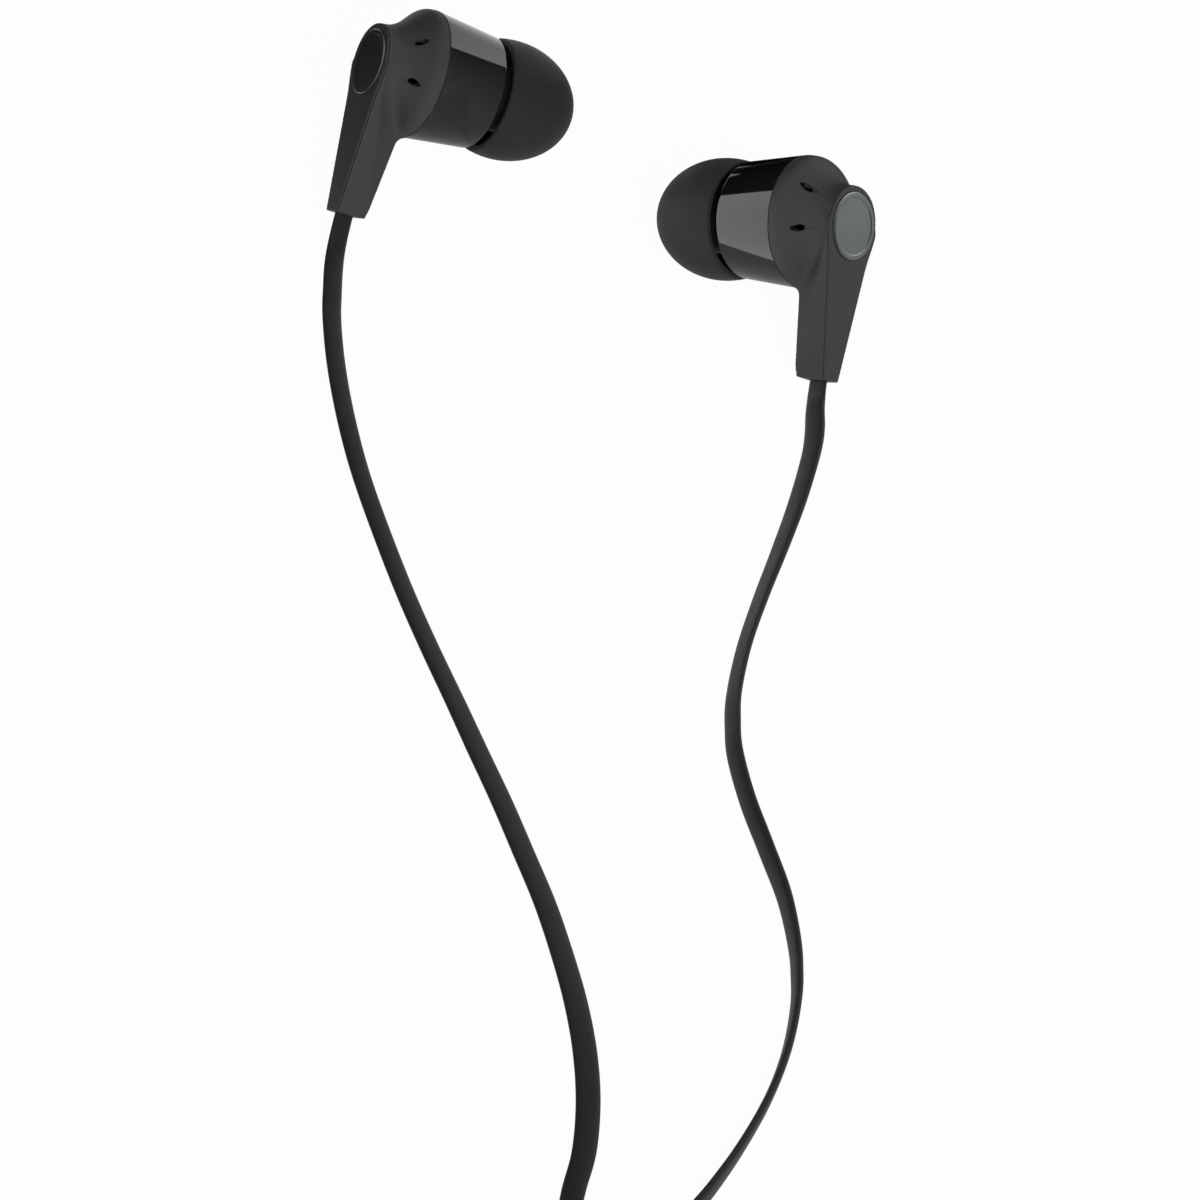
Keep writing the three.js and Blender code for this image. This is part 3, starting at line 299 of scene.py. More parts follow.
# Elastomer moulded over the cord: rougher than the extruded skin.
RUBBER = Finish("overmoulded_elastomer", "272728", "2c2c2d", (0.55, 0.7), grain=0.14, bump=0.003, patch=2.5)
# Plain moulded black ABS with a light texture.
PLASTIC = Finish("moulded_abs", "222223", "272728", (0.38, 0.48), grain=0.18, bump=0.002, patch=4)
# Aluminium disc with a turned face under a grey satin anodising.
BADGE_SKIN = Finish(
    "anodised_aluminium", "787c7d", "828687", (0.4, 0.48), grain=0.14, bump=0.0015, metallic=1.0,
)
# Stamped steel with faint rolling marks.
STEEL = Finish(
    "stamped_steel", "8d8f92", "9c9ea1", (0.25, 0.4), grain=0.2, bump=0.0015, metallic=1.0, stretch=6,
)
# Nickel-plated magnet: brighter and smoother than the steel.
NICKEL = Finish("nickel_plating", "b1b2b3", "bdbebf", (0.15, 0.22), grain=0.3, bump=0.0006, metallic=1.0)
# Enamelled copper wire, wound side by side.
COPPER = Finish("enamelled_copper", "a65a2e", "b66a3a", (0.25, 0.35), grain=0.12, bump=0.004, metallic=1.0)
# Polyester film, hot-pressed to shape: smooth, with a warm tint.
FILM = Finish("polyester_film", "b8a67c", "c4b28a", (0.2, 0.3), grain=0.4, bump=0.001)
# Solder mask on glass-fibre board.
CIRCUIT = Finish("solder_mask", "14201a", "18261f", (0.25, 0.35), grain=0.25, bump=0.003)
# Hard gold plating on brass, polished, with hairline marks round the pin.
GOLD = Finish(
    "gold_plating", "c9a14e", "d3ad5c", (0.12, 0.2), grain=0.12, bump=0.0008, metallic=1.0, stretch=8,
)
# Open-cell foam: dark and very rough.
FOAM = Finish("open_cell_foam", "3a3a38", "4a4a47", (0.9, 1.0), grain=0.14, bump=0.03, patch=0.4)
# Woven stainless cloth: round bright wires over holes in painted shade, near black for the bore behind.
WIRE_CLOTH = WovenMesh(
    "woven_steel_cloth", "8a8c8e", "999b9d", (0.3, 0.4), grain=0.2, bump=0.05, metallic=1.0,
)


# ---------------------------------------------------------------- modelling moves
def alone(piece: Piece) -> None:
    """Makes one object the only one selected."""
    bpy.ops.object.select_all(action="DESELECT")
    piece.select_set(True)
    bpy.context.view_layer.objects.active = piece


def fresh(primitive: Callable, name: str, **settings: object) -> Piece:
    """Adds a primitive with nothing else selected.

    Args:
        primitive: the operator that adds it.
        name: the object's name.
        settings: the operator's settings.

    Returns:
        The object, with its place and size in its mesh.
    """
    bpy.ops.object.select_all(action="DESELECT")
    primitive(**settings)
    piece = bpy.context.active_object
    piece.name = piece.data.name = name
    bpy.ops.object.transform_apply(location=True, rotation=True, scale=True)
    return piece


@contextmanager
def editing(piece: Piece) -> Iterator[None]:
    """Opens edit mode with nothing selected, and leaves it again."""
    alone(piece)
    bpy.ops.object.mode_set(mode="EDIT")
    bpy.ops.mesh.select_mode(type="VERT")
    bpy.ops.mesh.select_all(action="DESELECT")
    yield
    bpy.ops.object.mode_set(mode="OBJECT")


def everything() -> None:
    """Selects the whole mesh, in edit mode."""
    bpy.ops.mesh.select_all(action="SELECT")


def pick(piece: Piece, wanted: Callable[[Vector], bool]) -> None:
    """Selects vertices by their place, in edit mode.

    Args:
        piece: the object in edit mode.
        wanted: says whether a vertex at a place is taken.
    """
    bpy.ops.mesh.select_all(action="DESELECT")
    mesh = bmesh.from_edit_mesh(piece.data)
    for vertex in mesh.verts:
        vertex.select = wanted(vertex.co)
    mesh.select_flush_mode()
    bmesh.update_edit_mesh(piece.data)


def modify(piece: Piece, kind: str, **settings: object) -> None:
    """Adds a modifier and applies it.

    Args:
        piece: the object.
        kind: the modifier's type.
        settings: its properties.
    """
    alone(piece)
    modifier = piece.modifiers.new(kind.lower(), kind)
    for key, value in settings.items():
        setattr(modifier, key, value)
    bpy.ops.object.modifier_apply(modifier=modifier.name)


def bevel(piece: Piece, width: float, segments: int, angle: float = 35) -> None:
    """Rounds every edge that is sharper than an angle in degrees."""
    sharp = {"limit_method": "ANGLE", "angle_limit": math.radians(angle), "use_clamp_overlap": True}
    modify(piece, "BEVEL", width=width, segments=segments, **sharp)


def cut(piece: Piece, cutter: Piece, operation: str = "DIFFERENCE") -> None:
    """Joins or subtracts a second object, which is used up."""
    modify(piece, "BOOLEAN", object=cutter, operation=operation, solver="MANIFOLD")
    bpy.data.objects.remove(cutter)


def tidy(piece: Piece) -> None:
    """Merges doubles and turns the faces outwards."""
    with editing(piece):
        everything()
        bpy.ops.mesh.remove_doubles(threshold=1e-4)
        bpy.ops.mesh.dissolve_degenerate(threshold=1e-5)
        everything()
        bpy.ops.mesh.normals_make_consistent(inside=False)


def smooth(piece: Piece, angle: float) -> None:
    """Shades smooth across edges below an angle in degrees."""
    alone(piece)
    bpy.ops.object.shade_smooth_by_angle(angle=math.radians(angle))


def turned(name: str, outline: Outline, steps: int) -> Piece:
    """Turns an outline about the X axis, as on a lathe.

    Args:
        name: the object's name.
        outline: points of (x, radius). It starts and ends on the axis, or is closed on itself.
        steps: how many sides the body gets.

    Returns:
        The closed body.
    """
    points = list(outline)
    if points[0][1] > 0 or points[-1][1] > 0:
        points.append(points[0])
    piece = fresh(bpy.ops.mesh.primitive_plane_add, name, size=1)
    with editing(piece):
        everything()
        bpy.ops.mesh.merge(type="CENTER")
        bpy.ops.transform.translate(value=(points[0][0], 0, points[0][1]))
        for (x, radius), (next_x, next_radius) in zip(points, points[1:]):
            step = (next_x - x, 0, next_radius - radius)
            bpy.ops.mesh.extrude_vertices_move(TRANSFORM_OT_translate={"value": step})
        everything()
        bpy.ops.mesh.spin(steps=steps, angle=TURN, center=(0, 0, 0), axis=(1, 0, 0))
    tidy(piece)
    return piece


def block(name: str, low: Triple, high: Triple) -> Piece:
    """Adds a cube between two corners.

    Args:
        name: the object's name.
        low: its lowest corner.
        high: its highest corner.

    Returns:
        The block, with its size in its mesh.
    """
    middle = [(a + b) / 2 for a, b in zip(low, high)]
    size = [b - a for a, b in zip(low, high)]
    return fresh(bpy.ops.mesh.primitive_cube_add, name, size=1, location=middle, scale=size)


def slice_off(piece: Piece, point: tuple, normal: tuple) -> None:
    """Cuts away what lies beyond a plane and closes the cut.

    Args:
        piece: the object.
        point: a point of the plane.
        normal: the plane's direction, toward what goes.
    """
    with editing(piece):
        everything()
        bpy.ops.mesh.bisect(plane_co=point, plane_no=normal, use_fill=True, clear_outer=True)


def twin(piece: Piece, name: str) -> Piece:
    """Copies an object with its own mesh.

    Args:
        piece: the object to copy.
        name: the copy's name.

    Returns:
        The copy.
    """
    copy = piece.copy()
    copy.data = piece.data.copy()
    copy.name = copy.data.name = name
    bpy.context.scene.collection.objects.link(copy)
    return copy


def rounded(points: Outline, corner: int, radius: float, steps: int) -> Outline:
    """Rounds one corner of an outline with an arc.

    Args:
        points: the outline.
        corner: which point is rounded.
        radius: distance from the corner at which the arc starts.
        steps: parts of the arc.

    Returns:
        The outline with the arc in the corner's place.
    """
    before, at, after = (Vector(points[i % len(points)]) for i in (corner - 1, corner, corner + 1))
    start = at + (before - at).normalized() * radius
    end = at + (after - at).normalized() * radius
    arc = []
    for i in range(steps + 1):
        t = i / steps
        arc.append(tuple(start * (1 - t) ** 2 + at * 2 * t * (1 - t) + end * t**2))
    return [*points[:corner], *arc, *points[corner + 1 :]]


def plain_disc(name: str, first: float, last: float, radius: float, sides: int) -> Piece:
    """Turns a plain disc between two depths behind the seam."""
    return turned(name, [(-first, 0.0), (-first, radius), (-last, radius), (-last, 0.0)], sides)


def groove(start: float, radius: float, shape: Triple) -> Outline:
    """Gives the outline of one groove round a turned piece.

    Args:
        start: where it starts.
        radius: the piece's radius there.
        shape: its width, the width of each flank and its depth.

    Returns:
        The groove's four points.
    """
    width, flank, depth = shape
    floor, end = radius - depth, start + width
    return [(start, radius), (start + flank, floor), (end - flank, floor), (end, radius)]


def paint(piece: Piece, *looks: Finish, chosen: int = 0) -> None:
    """Gives a piece its finishes, and every face one of them.

    Args:
        piece: the mesh object.
        looks: its finishes.
        chosen: which of them its faces get.
    """
    piece.data.materials.clear()
    for look in looks:
        piece.data.materials.append(look.make())
    for face in piece.data.polygons:
        face.material_index = chosen


def finish_piece(piece: Piece, look: Finish, nodes: list[str], body: Body = Body.FIXED) -> None:
    """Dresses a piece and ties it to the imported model.

    Args:
        piece: the finished mesh object, in metres in the common frame.
        look: its finish, for slots that hold none yet.
        nodes: the CAD nodes it stands for.
        body: the CAD body it moves with.
    """
    if not piece.data.materials:
        piece.data.materials.append(look.make())
    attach(piece, body.value)
    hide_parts(*nodes)
    log.info("%s: %d faces, %s", piece.name, len(piece.data.polygons), look.name)


# ---------------------------------------------------------------- earbud
@dataclass(frozen=True)
class EarbudPlace:
    """Where one earbud lies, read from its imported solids."""

    side: Side
    mesh_at: float = 12.325
    cord_depth: float = CORD_DEPTH

    def middle(self, node: str) -> Vector:
        """Gives the middle of a CAD node of this earbud."""
        low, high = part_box(f"{self.side.value}_{node}")
        return (Vector(low) + Vector(high)) / 2

    def matrix(self) -> Matrix:
        """Finds the earbud's frame from its nozzle mesh, magnet and cord grip.

        Returns:
            The matrix from the earbud's own millimetres to the common frame.
        """
        nozzle, magnet, grip = (self.middle(n) for n in ("nozzle_mesh", "driver_magnet", "cord_grip"))
        barrel = (nozzle - magnet).normalized()
        origin = nozzle - barrel * self.mesh_at * MM
        up = origin - barrel * self.cord_depth * MM - grip
        up = (up - barrel * up.dot(barrel)).normalized()
        across = up.cross(barrel)
        turn = Matrix((barrel, across, up)).transposed().to_4x4()
        return Matrix.Translation(origin) @ turn @ Matrix.Scale(MM, 4)


@dataclass
class RearHousing:
    """The matte shell: a round body that draws in to a boss, with the faceted stem and its vents.

    The driver's bore and the mouth are (radius, depth), and a vent's hole is its two half widths. A
    vent narrows by rows of (share of the tail, factor on the width beyond it).
    """

    seam_radius: float = SEAM_RADIUS
    boss_radius: float = 3.98
    crown: float = 1.15
    crown_drop: float = 0.1
    crown_round: float = 0.5
    flank_slope: float = 1.05
    boss_slope: float = 0.1
    saddle_round: float = 1.3
    back: float = BACK
    front_spare: float = 0.8
    rings: int = 48
    sides: int = 160
    stem_end: float = STEM_END
    stem_block: float = 8.0
    taper: float = 0.168
    flare: float = 0.17
    lean: float = 0.22
    front_turn: float = 0.6
    stem_front: float = 2.6
    stem_front_lean: float = 0.19
    neck_blend: float = 1.5
    neck_span: Pair = (-5.89, 0.4)
    neck_passes: int = 6
    neck_step: float = 0.2
    neck_slide: float = 0.2
    wall: float = 1.1
    voxel: float = 0.1
    driver_bore: Pair = (5.1, 0.6)
    chamber: float = 5.2
    chamber_shares: tuple[float, ...] = (0.28, 0.46, 0.64, 0.8)
    mouth: Pair = (3.3, 5.8)
    rim_edge: float = 0.06
    cover_edge: float = 0.03
    cover_seam: float = 5.63
    cover_inner: float = 5.73
    cover_plug: float = 3.2
    cover_plug_span: Pair = (5.3, 5.75)
    vent_depth: float = 2.4
    vent_angles: tuple[float, ...] = (58.0, 107.0)
    vent_radius: float = 0.42
    vent_tail: float = 2.1
    vent_narrowing: tuple[Pair, ...] = (
        (0.05, 0.95), (0.15, 0.9), (0.3, 0.82), (0.5, 0.7), (0.7, 0.6),
    )
    vent_recess: float = 0.6
    vent_height: float = 2.4
    vent_slope: float = 24.0
    vent_hole: Pair = (0.52, 0.33)
    vent_hole_at: float = -0.12
    vent_hole_depth: float = 4.0
    badge_drop: float = BADGE_DROP
    badge_seat: float = 3.68
    badge_recess: float = 0.12
    cord_depth: float = CORD_DEPTH
    cord_slot: Pair = (2.15, 0.95)
    cord_slot_top: float = -2.4

    def radius_at(self, depth: float | np.ndarray) -> float | np.ndarray:
        """Gives the round body's radius behind the seam: a cone, a steep flank and the boss.

        Args:
            depth: distance behind the seam.

        Returns:
            The radius, with the three softly joined.
        """
        cone = self.seam_radius - self.crown_drop * depth
        flank = self.seam_radius - self.crown_drop * self.crown - self.flank_slope * (depth - self.crown)
        boss = self.boss_radius + self.boss_slope * (self.back - depth)
        corner = np.maximum(self.crown_round - np.abs(cone - flank), 0) ** 2 / self.crown_round / 4
        shoulder = np.minimum(cone, flank) - corner
        hollow = np.maximum(self.saddle_round - np.abs(shoulder - boss), 0) ** 2 / self.saddle_round / 4
        return np.maximum(shoulder, boss) + hollow

    def round_body(self) -> Piece:
        """Turns the round body, a little longer than it ends up in front."""
        depths = [i * self.back / self.rings for i in range(self.rings + 1)]
        front = [(self.front_spare, 0.0), (self.front_spare, self.seam_radius)]
        skin = [(-depth, float(self.radius_at(depth))) for depth in depths]
        return turned("housing", [*front, *skin, (-self.back, 0.0)], self.sides)

    def neck_shape(self) -> Pair:
        """Gives the stem's half width at the barrel's axis, and where its sides touch the boss."""
        slant = math.hypot(1, self.taper)
        return self.boss_radius * slant, self.boss_radius * self.taper / slant

    def stem(self) -> Piece:
        """Cuts the stem from a block: two side facets, two front facets and the leaning front edge."""
        half, tangent = self.neck_shape()
        low = (-self.back, -self.stem_block, -self.stem_end)
        wedge = block("stem", low, (self.front_spare, self.stem_block, -tangent))
        for hand in (-1, 1):
            slice_off(wedge, (-self.back, hand * half, 0), (-self.flare, hand, -self.taper))
            inward = self.taper - self.flare * self.lean - self.front_turn * self.lean
            slice_off(wedge, (-self.back, hand * half, 0), (self.front_turn, hand, -inward))
        edge = -self.stem_front + self.stem_front_lean * self.stem_end
        slice_off(wedge, (edge, 0, 0), (1, 0, -self.stem_front_lean))
        return wedge

    def fields(self, points: np.ndarray) -> tuple[np.ndarray, np.ndarray]:
        """Measures points against the round body and the stem.

        Args:
            points: an array of places.

        Returns:
            Two arrays, each below 0 inside its body.
        """
        depth, side, drop = -points[:, 0], np.abs(points[:, 1]), -points[:, 2]
        body = np.hypot(drop, side) - self.radius_at(depth)
        half, tangent = self.neck_shape()
        side_half = half - self.taper * drop
        forward, crease = self.back - depth, self.lean * drop
        front_half = side_half + self.flare * crease - self.front_turn * (forward - crease)
        width = np.minimum(side_half + self.flare * forward, front_half)
        edge = self.stem_front - self.stem_front_lean * (self.stem_end - drop)
        stem = np.maximum.reduce([side - width, edge - depth, drop - self.stem_end, tangent - drop])
        return body, stem

    def blend(self, points: np.ndarray) -> np.ndarray:
        """Gives the softly joined field of body and stem."""
        body, stem = self.fields(points)
        near = np.maximum(self.neck_blend - np.abs(body - stem), 0) / self.neck_blend
        return np.minimum(body, stem) - near * near * self.neck_blend / 4

    def soften_neck(self, piece: Piece) -> None:
        """Fills the corner between body and stem, as the mould does.

        Args:
            piece: the skin. Its points near the corner move out to the soft joint.
        """
        count = len(piece.data.vertices)
        flat = np.empty(count * 3)
        piece.data.vertices.foreach_get("co", flat)
        points = flat.reshape(count, 3)
        body, stem = self.fields(points)
        low, high = self.neck_span
        near = (np.abs(body - stem) < self.neck_blend) & (points[:, 0] > low) & (points[:, 0] < high)
        moved = points[near]
        probe, least = 1e-3, 0.05
        for _ in range(self.neck_passes):
            value = self.blend(moved)
            rises = [self.blend(moved + step) - self.blend(moved - step) for step in np.eye(3) * probe]
            slope = np.stack([rise / (2 * probe) for rise in rises], axis=1)
            slope[:, 0] *= self.neck_slide
            size = np.maximum((slope * slope).sum(axis=1), least)
            moved = moved - np.clip(value / size, -self.neck_step, self.neck_step)[:, None] * slope
        points[near] = moved
        piece.data.vertices.foreach_set("co", points.reshape(-1))
        piece.data.update()

    def moulding(self) -> Piece:
        """Joins body and stem into one even skin.

        Returns:
            The whole outer form, from in front of the seam to the back face.
        """
        piece = self.round_body()
        cut(piece, self.stem(), "UNION")
        modify(piece, "REMESH", mode="VOXEL", voxel_size=self.voxel, adaptivity=0.0, use_smooth_shade=True)
        self.soften_neck(piece)
        modify(piece, "SMOOTH", factor=0.5, iterations=4)
        return piece

    def vent_cutter(self, angle: float, hand: int) -> Piece:
        """Makes the cutter of one teardrop vent.

        Args:
            angle: degrees from the top.
            hand: which side of the earbud.

        Returns:
            The cutter in place.
        """
        centre = (0, 0, float(self.radius_at(self.vent_depth)) - self.vent_recess)
        cutter = fresh(
            bpy.ops.mesh.primitive_circle_add, "vent", vertices=48, radius=self.vent_radius, fill_type="NGON",
            location=centre,
        )
        with editing(cutter):
            pick(cutter, lambda p: p.x < -0.001)
            stretch = self.vent_tail / self.vent_radius
            bpy.ops.transform.resize(value=(stretch, 1, 1), center_override=centre)
            for share, narrow in self.vent_narrowing:
                pick(cutter, lambda p, s=share: p.x < -self.vent_tail * s)
                bpy.ops.transform.resize(value=(1, narrow, 1), center_override=centre)
            everything()
            bpy.ops.mesh.extrude_region_move(TRANSFORM_OT_translate={"value": (0, 0, self.vent_height)})
            everything()
            slope = math.radians(self.vent_slope)
            bpy.ops.transform.rotate(value=slope, orient_axis="Y", center_override=centre)
        tidy(cutter)
        return self.vent_placed(cutter, angle, hand)

    def vent_bore(self, angle: float, hand: int) -> Piece:
        """Makes the cutter of the oval hole at the round end of a vent, down to the rear chamber.

        Args:
            angle: degrees from the top.
            hand: which side of the earbud.

        Returns:
            The cutter in place.
        """
        surface = (0, 0, float(self.radius_at(self.vent_depth)))
        cylinder = bpy.ops.mesh.primitive_cylinder_add
        bore = fresh(cylinder, "bore", vertices=32, radius=1, depth=self.vent_hole_depth, location=surface)
        with editing(bore):
            everything()
            bpy.ops.transform.resize(value=(*self.vent_hole, 1), center_override=surface)
            bpy.ops.transform.translate(value=(self.vent_hole_at, 0, 0))
        return self.vent_placed(bore, angle, hand)

    def vent_placed(self, cutter: Piece, angle: float, hand: int) -> Piece:
        """Swings a vent's cutter to its place round the body."""
        cutter.data.transform(Matrix.Rotation(-hand * math.radians(angle), 4, "X"))
        cutter.data.transform(Matrix.Translation((-self.vent_depth, 0, 0)))
        return cutter

    def hollow(self) -> Piece:
        """Turns the inside: the driver's bore and the rear chamber, down to the mouth under the cover."""
        bore, bore_depth = self.driver_bore
        mouth, mouth_depth = self.mouth
        outline = [(1.0, 0.0), (1.0, bore), (-bore_depth, bore)]
        for depth in (share * self.chamber for share in self.chamber_shares):
            outline.append((-depth, max(float(self.radius_at(depth)) - self.wall, mouth)))
        return turned("hollow", [*outline, (-mouth_depth, mouth), (-mouth_depth, 0.0)], 64)

    def housing(self, moulding: Piece) -> Piece:
        """Makes the shell itself.

        Args:
            moulding: the whole outer form.

        Returns:
            The hollow shell with its vents and cord slot.
        """
        shell = twin(moulding, "rear_housing")
        slice_off(shell, (0, 0, 0), (1, 0, 0))
        slice_off(shell, (-self.cover_seam, 0, 0), (-1, 0, 0))
        self.soften_rim(shell, 0.0, self.rim_edge)
        self.soften_rim(shell, -self.cover_seam, self.cover_edge)
        cut(shell, self.hollow())
        length, width = self.cord_slot
        low = (-self.cord_depth - length / 2, -width / 2, -self.stem_end - 1)
        cut(shell, block("slot", low, (-self.cord_depth + length / 2, width / 2, self.cord_slot_top)))
        paint(shell, MATTE_SHELL, VENT_PAINTED_SHADE)
        for angle in self.vent_angles:
            for hand in (-1, 1):
                cutter, bore = self.vent_cutter(angle, hand), self.vent_bore(angle, hand)
                paint(cutter, MATTE_SHELL, VENT_PAINTED_SHADE)
                # The bore's walls get the painted shade, a near-black colour for the shade inside the vent.
                paint(bore, MATTE_SHELL, VENT_PAINTED_SHADE, chosen=1)
                cut(shell, cutter)
                cut(shell, bore)
        smooth(shell, 40)
        return shell

    def soften_rim(self, piece: Piece, place: float, width: float) -> None:
        """Bevels the rim that a cut left.

        Args:
            piece: the shell.
            place: where along the barrel's axis the cut is.
            width: the bevel's width.
        """
        with editing(piece):
            bpy.ops.mesh.select_mode(type="EDGE")
            mesh = bmesh.from_edit_mesh(piece.data)
            for edge in mesh.edges:
                on = all(abs(vertex.co.x - place) < 1e-4 for vertex in edge.verts)
                edge.select = on and len(edge.link_faces) == 2 and edge.calc_face_angle(0) > 0.5
            bmesh.update_edit_mesh(piece.data)
            bpy.ops.mesh.bevel(offset=width, segments=2, clamp_overlap=True)

    def cover(self, moulding: Piece) -> Piece:
        """Makes the plate that closes the back, with the badge's seat.

        Args:
            moulding: the whole outer form.

        Returns:
            The cover.
        """
        plate = twin(moulding, "back_cover")
        slice_off(plate, (-self.cover_inner, 0, 0), (1, 0, 0))
        self.soften_rim(plate, -self.cover_inner, self.cover_edge)
        cut(plate, plain_disc("plug", *self.cover_plug_span, self.cover_plug, 64), "UNION")
        seat = plain_disc("seat", self.back + 1, self.back - self.badge_recess, self.badge_seat, 128)
        seat.data.transform(Matrix.Translation((0, 0, -self.badge_drop)))
        cut(plate, seat)
        paint(plate, MATTE_SHELL)
        smooth(plate, 40)
        return plate


@dataclass
class FrontBarrel:
    """The glossy tapered barrel with the sound nozzle."""

    length: float = 7.5
    seam_radius: float = SEAM_RADIUS
    front_radius: float = 6.2
    edge: float = 0.25
    nozzle: float = 2.6
    nozzle_length: float = 5.0
    barb: float = 0.15
    barb_length: float = 0.9
    barb_slope: float = 0.45
    driver_bore: float = 5.8
    driver_depth: float = 4.4
    chamber: float = 4.85
    front_wall: float = 1.1
    bore: float = 1.6
    mesh_seat: float = 2.1
    mesh_depth: float = 0.5
    seam_gap: float = 0.07
    seam_edge: float = 0.08

    def make(self) -> Piece:
        """Turns the barrel.

        Returns:
            The barrel.
        """
        end = self.length + self.nozzle_length
        outline = [
            (self.seam_gap, self.driver_bore),
            (self.seam_gap, self.seam_radius),
            (self.length, self.front_radius),
            (self.length, self.nozzle),
            (end - self.barb_length, self.nozzle),
            (end - self.barb_length, self.nozzle + self.barb),
            (end - self.barb_slope, self.nozzle + self.barb),
            (end, self.nozzle - self.barb),
            (end, self.mesh_seat),
            (end - self.mesh_depth, self.mesh_seat),
            (end - self.mesh_depth, self.bore),
            (self.length - self.front_wall, self.bore),
            (self.length - self.front_wall, self.chamber),
            (self.driver_depth, self.chamber),
            (self.driver_depth, self.driver_bore),
        ]
        outline = rounded(outline, 2, self.edge, 8)
        outline = rounded(outline, 1, self.seam_edge, 4)
        barrel = turned("front_barrel", outline, 192)
        smooth(barrel, 25)
        return barrel


@dataclass
class EarTip:
    """The silicone tip: a core that grips the nozzle, a dome and a thin skirt.

    The lip and the root are steps of (how far behind the nose or the skirt's root, how far out).
    """

    rim: float = 8.4
    length: float = 10.1
    belly: float = 2.2
    radius: float = 6.5
    wall: float = 0.6
    bore: float = 3.0
    core_wall: float = 0.6
    core_back: float = 0.4
    sound_bore: float = 2.0
    floor: float = 12.8
    lip: tuple[Pair, ...] = ((0.45, 0.0), (0.16, 0.07), (0.02, 0.24))
    lip_radius: float = 0.45
    belly_steps: int = 8
    rim_round: float = 0.22
    rim_drop: float = 0.2
    rim_steps: int = 7
    nose_walls: float = 2.4
    root: tuple[Pair, ...] = ((0.1, 0.2), (0.35, 0.05), (0.7, 0.0))
    root_gap: float = 0.5
    steps: int = 40

    def make(self) -> Piece:
        """Turns the tip in one piece.

        Returns:
            The tip.
        """
        widest, front = self.rim + self.belly, self.rim + self.length
        reach = front - widest
        core = self.bore + self.core_wall
        start = math.asin((self.sound_bore + self.lip_radius) / self.radius)
        heel = self.rim - self.core_back
        outline = [(heel, core), (heel, self.bore), (self.floor, self.bore), (self.floor, self.sound_bore)]
        nose = widest + reach * math.cos(start)
        outline += [(nose - back, self.sound_bore + out) for back, out in self.lip]
        for i in range(self.steps + 1):
            angle = start + (math.pi / 2 - start) * i / self.steps
            outline.append((widest + reach * math.cos(angle), self.radius * math.sin(angle)))
        for i in range(1, self.belly_steps + 1):
            share = i / self.belly_steps
            behind = (self.belly - self.rim_round) * share
            outline.append((widest - behind, self.radius - self.rim_drop * share**2))
        edge = self.radius - self.rim_drop
        for i in range(1, self.rim_steps + 1):
            angle = math.pi * i / self.rim_steps
            rim = self.rim + self.rim_round - self.rim_round * math.sin(angle)
            outline.append((rim, edge - self.wall / 2 * (1 - math.cos(angle))))
        inner, depth = self.radius - self.wall, reach - self.nose_walls * self.wall
        stop = math.asin((core + self.root_gap) / inner)
        for i in range(self.steps // 2 + 1):
            angle = math.pi / 2 + (stop - math.pi / 2) * i / (self.steps // 2)
            outline.append((widest + depth * math.cos(angle), inner * math.sin(angle)))
        last = widest + depth * math.cos(stop)
        outline += [(last - back, core + out) for back, out in self.root]
        tip = turned("ear_tip", outline, 160)
        smooth(tip, 40)
        return tip


@dataclass
class Badge:
    """The bare disc on the back: a chamfered edge, a narrow rim and a shallow field inside it."""

    back: float = BACK
    proud: float = 0.2
    thickness: float = 0.3
    radius: float = 3.6
    edge: float = 0.12
    edge_rounds: Pair = (0.04, 0.05)
    rim: float = 0.5
    field_depth: float = 0.07
    field_slope: float = 0.12
    drop: float = BADGE_DROP

    def make(self) -> Piece:
        """Turns the disc.

        Returns:
            The badge.
        """
        face = -self.back - self.proud
        inner = self.radius - self.rim
        outline = [
            (face + self.field_depth, 0.0),
            (face + self.field_depth, inner - self.field_slope),
            (face, inner),
            (face, self.radius - self.edge),
            (face + self.edge, self.radius),
            (face + self.thickness, self.radius),
            (face + self.thickness, 0.0),
        ]
        inner_round, outer_round = self.edge_rounds
        disc = turned("badge", rounded(rounded(outline, 3, outer_round, 3), 2, inner_round, 3), 160)
        disc.data.transform(Matrix.Translation((0, 0, -self.drop)))
        smooth(disc, 25)
        return disc


@dataclass
class NozzleMesh:
    """The wire cloth in the nozzle's end, pressed a little outwards."""

    end: float = 12.5
    thickness: float = 0.3
    radius: float = 1.95
    rise: float = 0.12
    steps: int = 12

    def make(self) -> Piece:
        """Turns the domed disc.

        Returns:
            The mesh disc.
        """
        front = []
        for i in range(self.steps + 1):
            rise = self.rise * (1 - (i / self.steps) ** 2)
            front.append((self.end + rise, self.radius * i / self.steps))
        back = [(x - self.thickness, radius) for x, radius in reversed(front)]
        disc = turned("nozzle_mesh", [*front, *back], 64)
        smooth(disc, 40)
        return disc


@dataclass
class Earbud:
    """One earbud's dressed pieces, copied from the ones that were modelled once."""

    side: Side
    models: dict[str, Piece]

    def dress(self) -> None:
        """Copies every modelled piece to this side and gives it its finish and body."""
        matrix = EarbudPlace(self.side).matrix()
        tip_body = Body.LEFT_TIP if self.side is Side.LEFT else Body.RIGHT_TIP
        looks = {
            "rear_housing": (MATTE_SHELL, Slot.MATTE_SHELL),
            "back_cover": (MATTE_SHELL, Slot.MATTE_SHELL),
            "front_barrel": (GLOSS_SHELL, Slot.GLOSS_SHELL),
            "badge": (BADGE_SKIN, Slot.BADGE),
            "nozzle_mesh": (WIRE_CLOTH, Slot.STEEL),
            "ear_tip": (SILICONE, Slot.SILICONE),
        }
        for name, (look, slot) in looks.items():
            node = f"{self.side.value}_{name}"
            copy = twin(self.models[name], f"{node}_skin")
            copy.data.transform(matrix)
            finish_piece(copy, look, [node], tip_body if name == "ear_tip" else Body.FIXED)


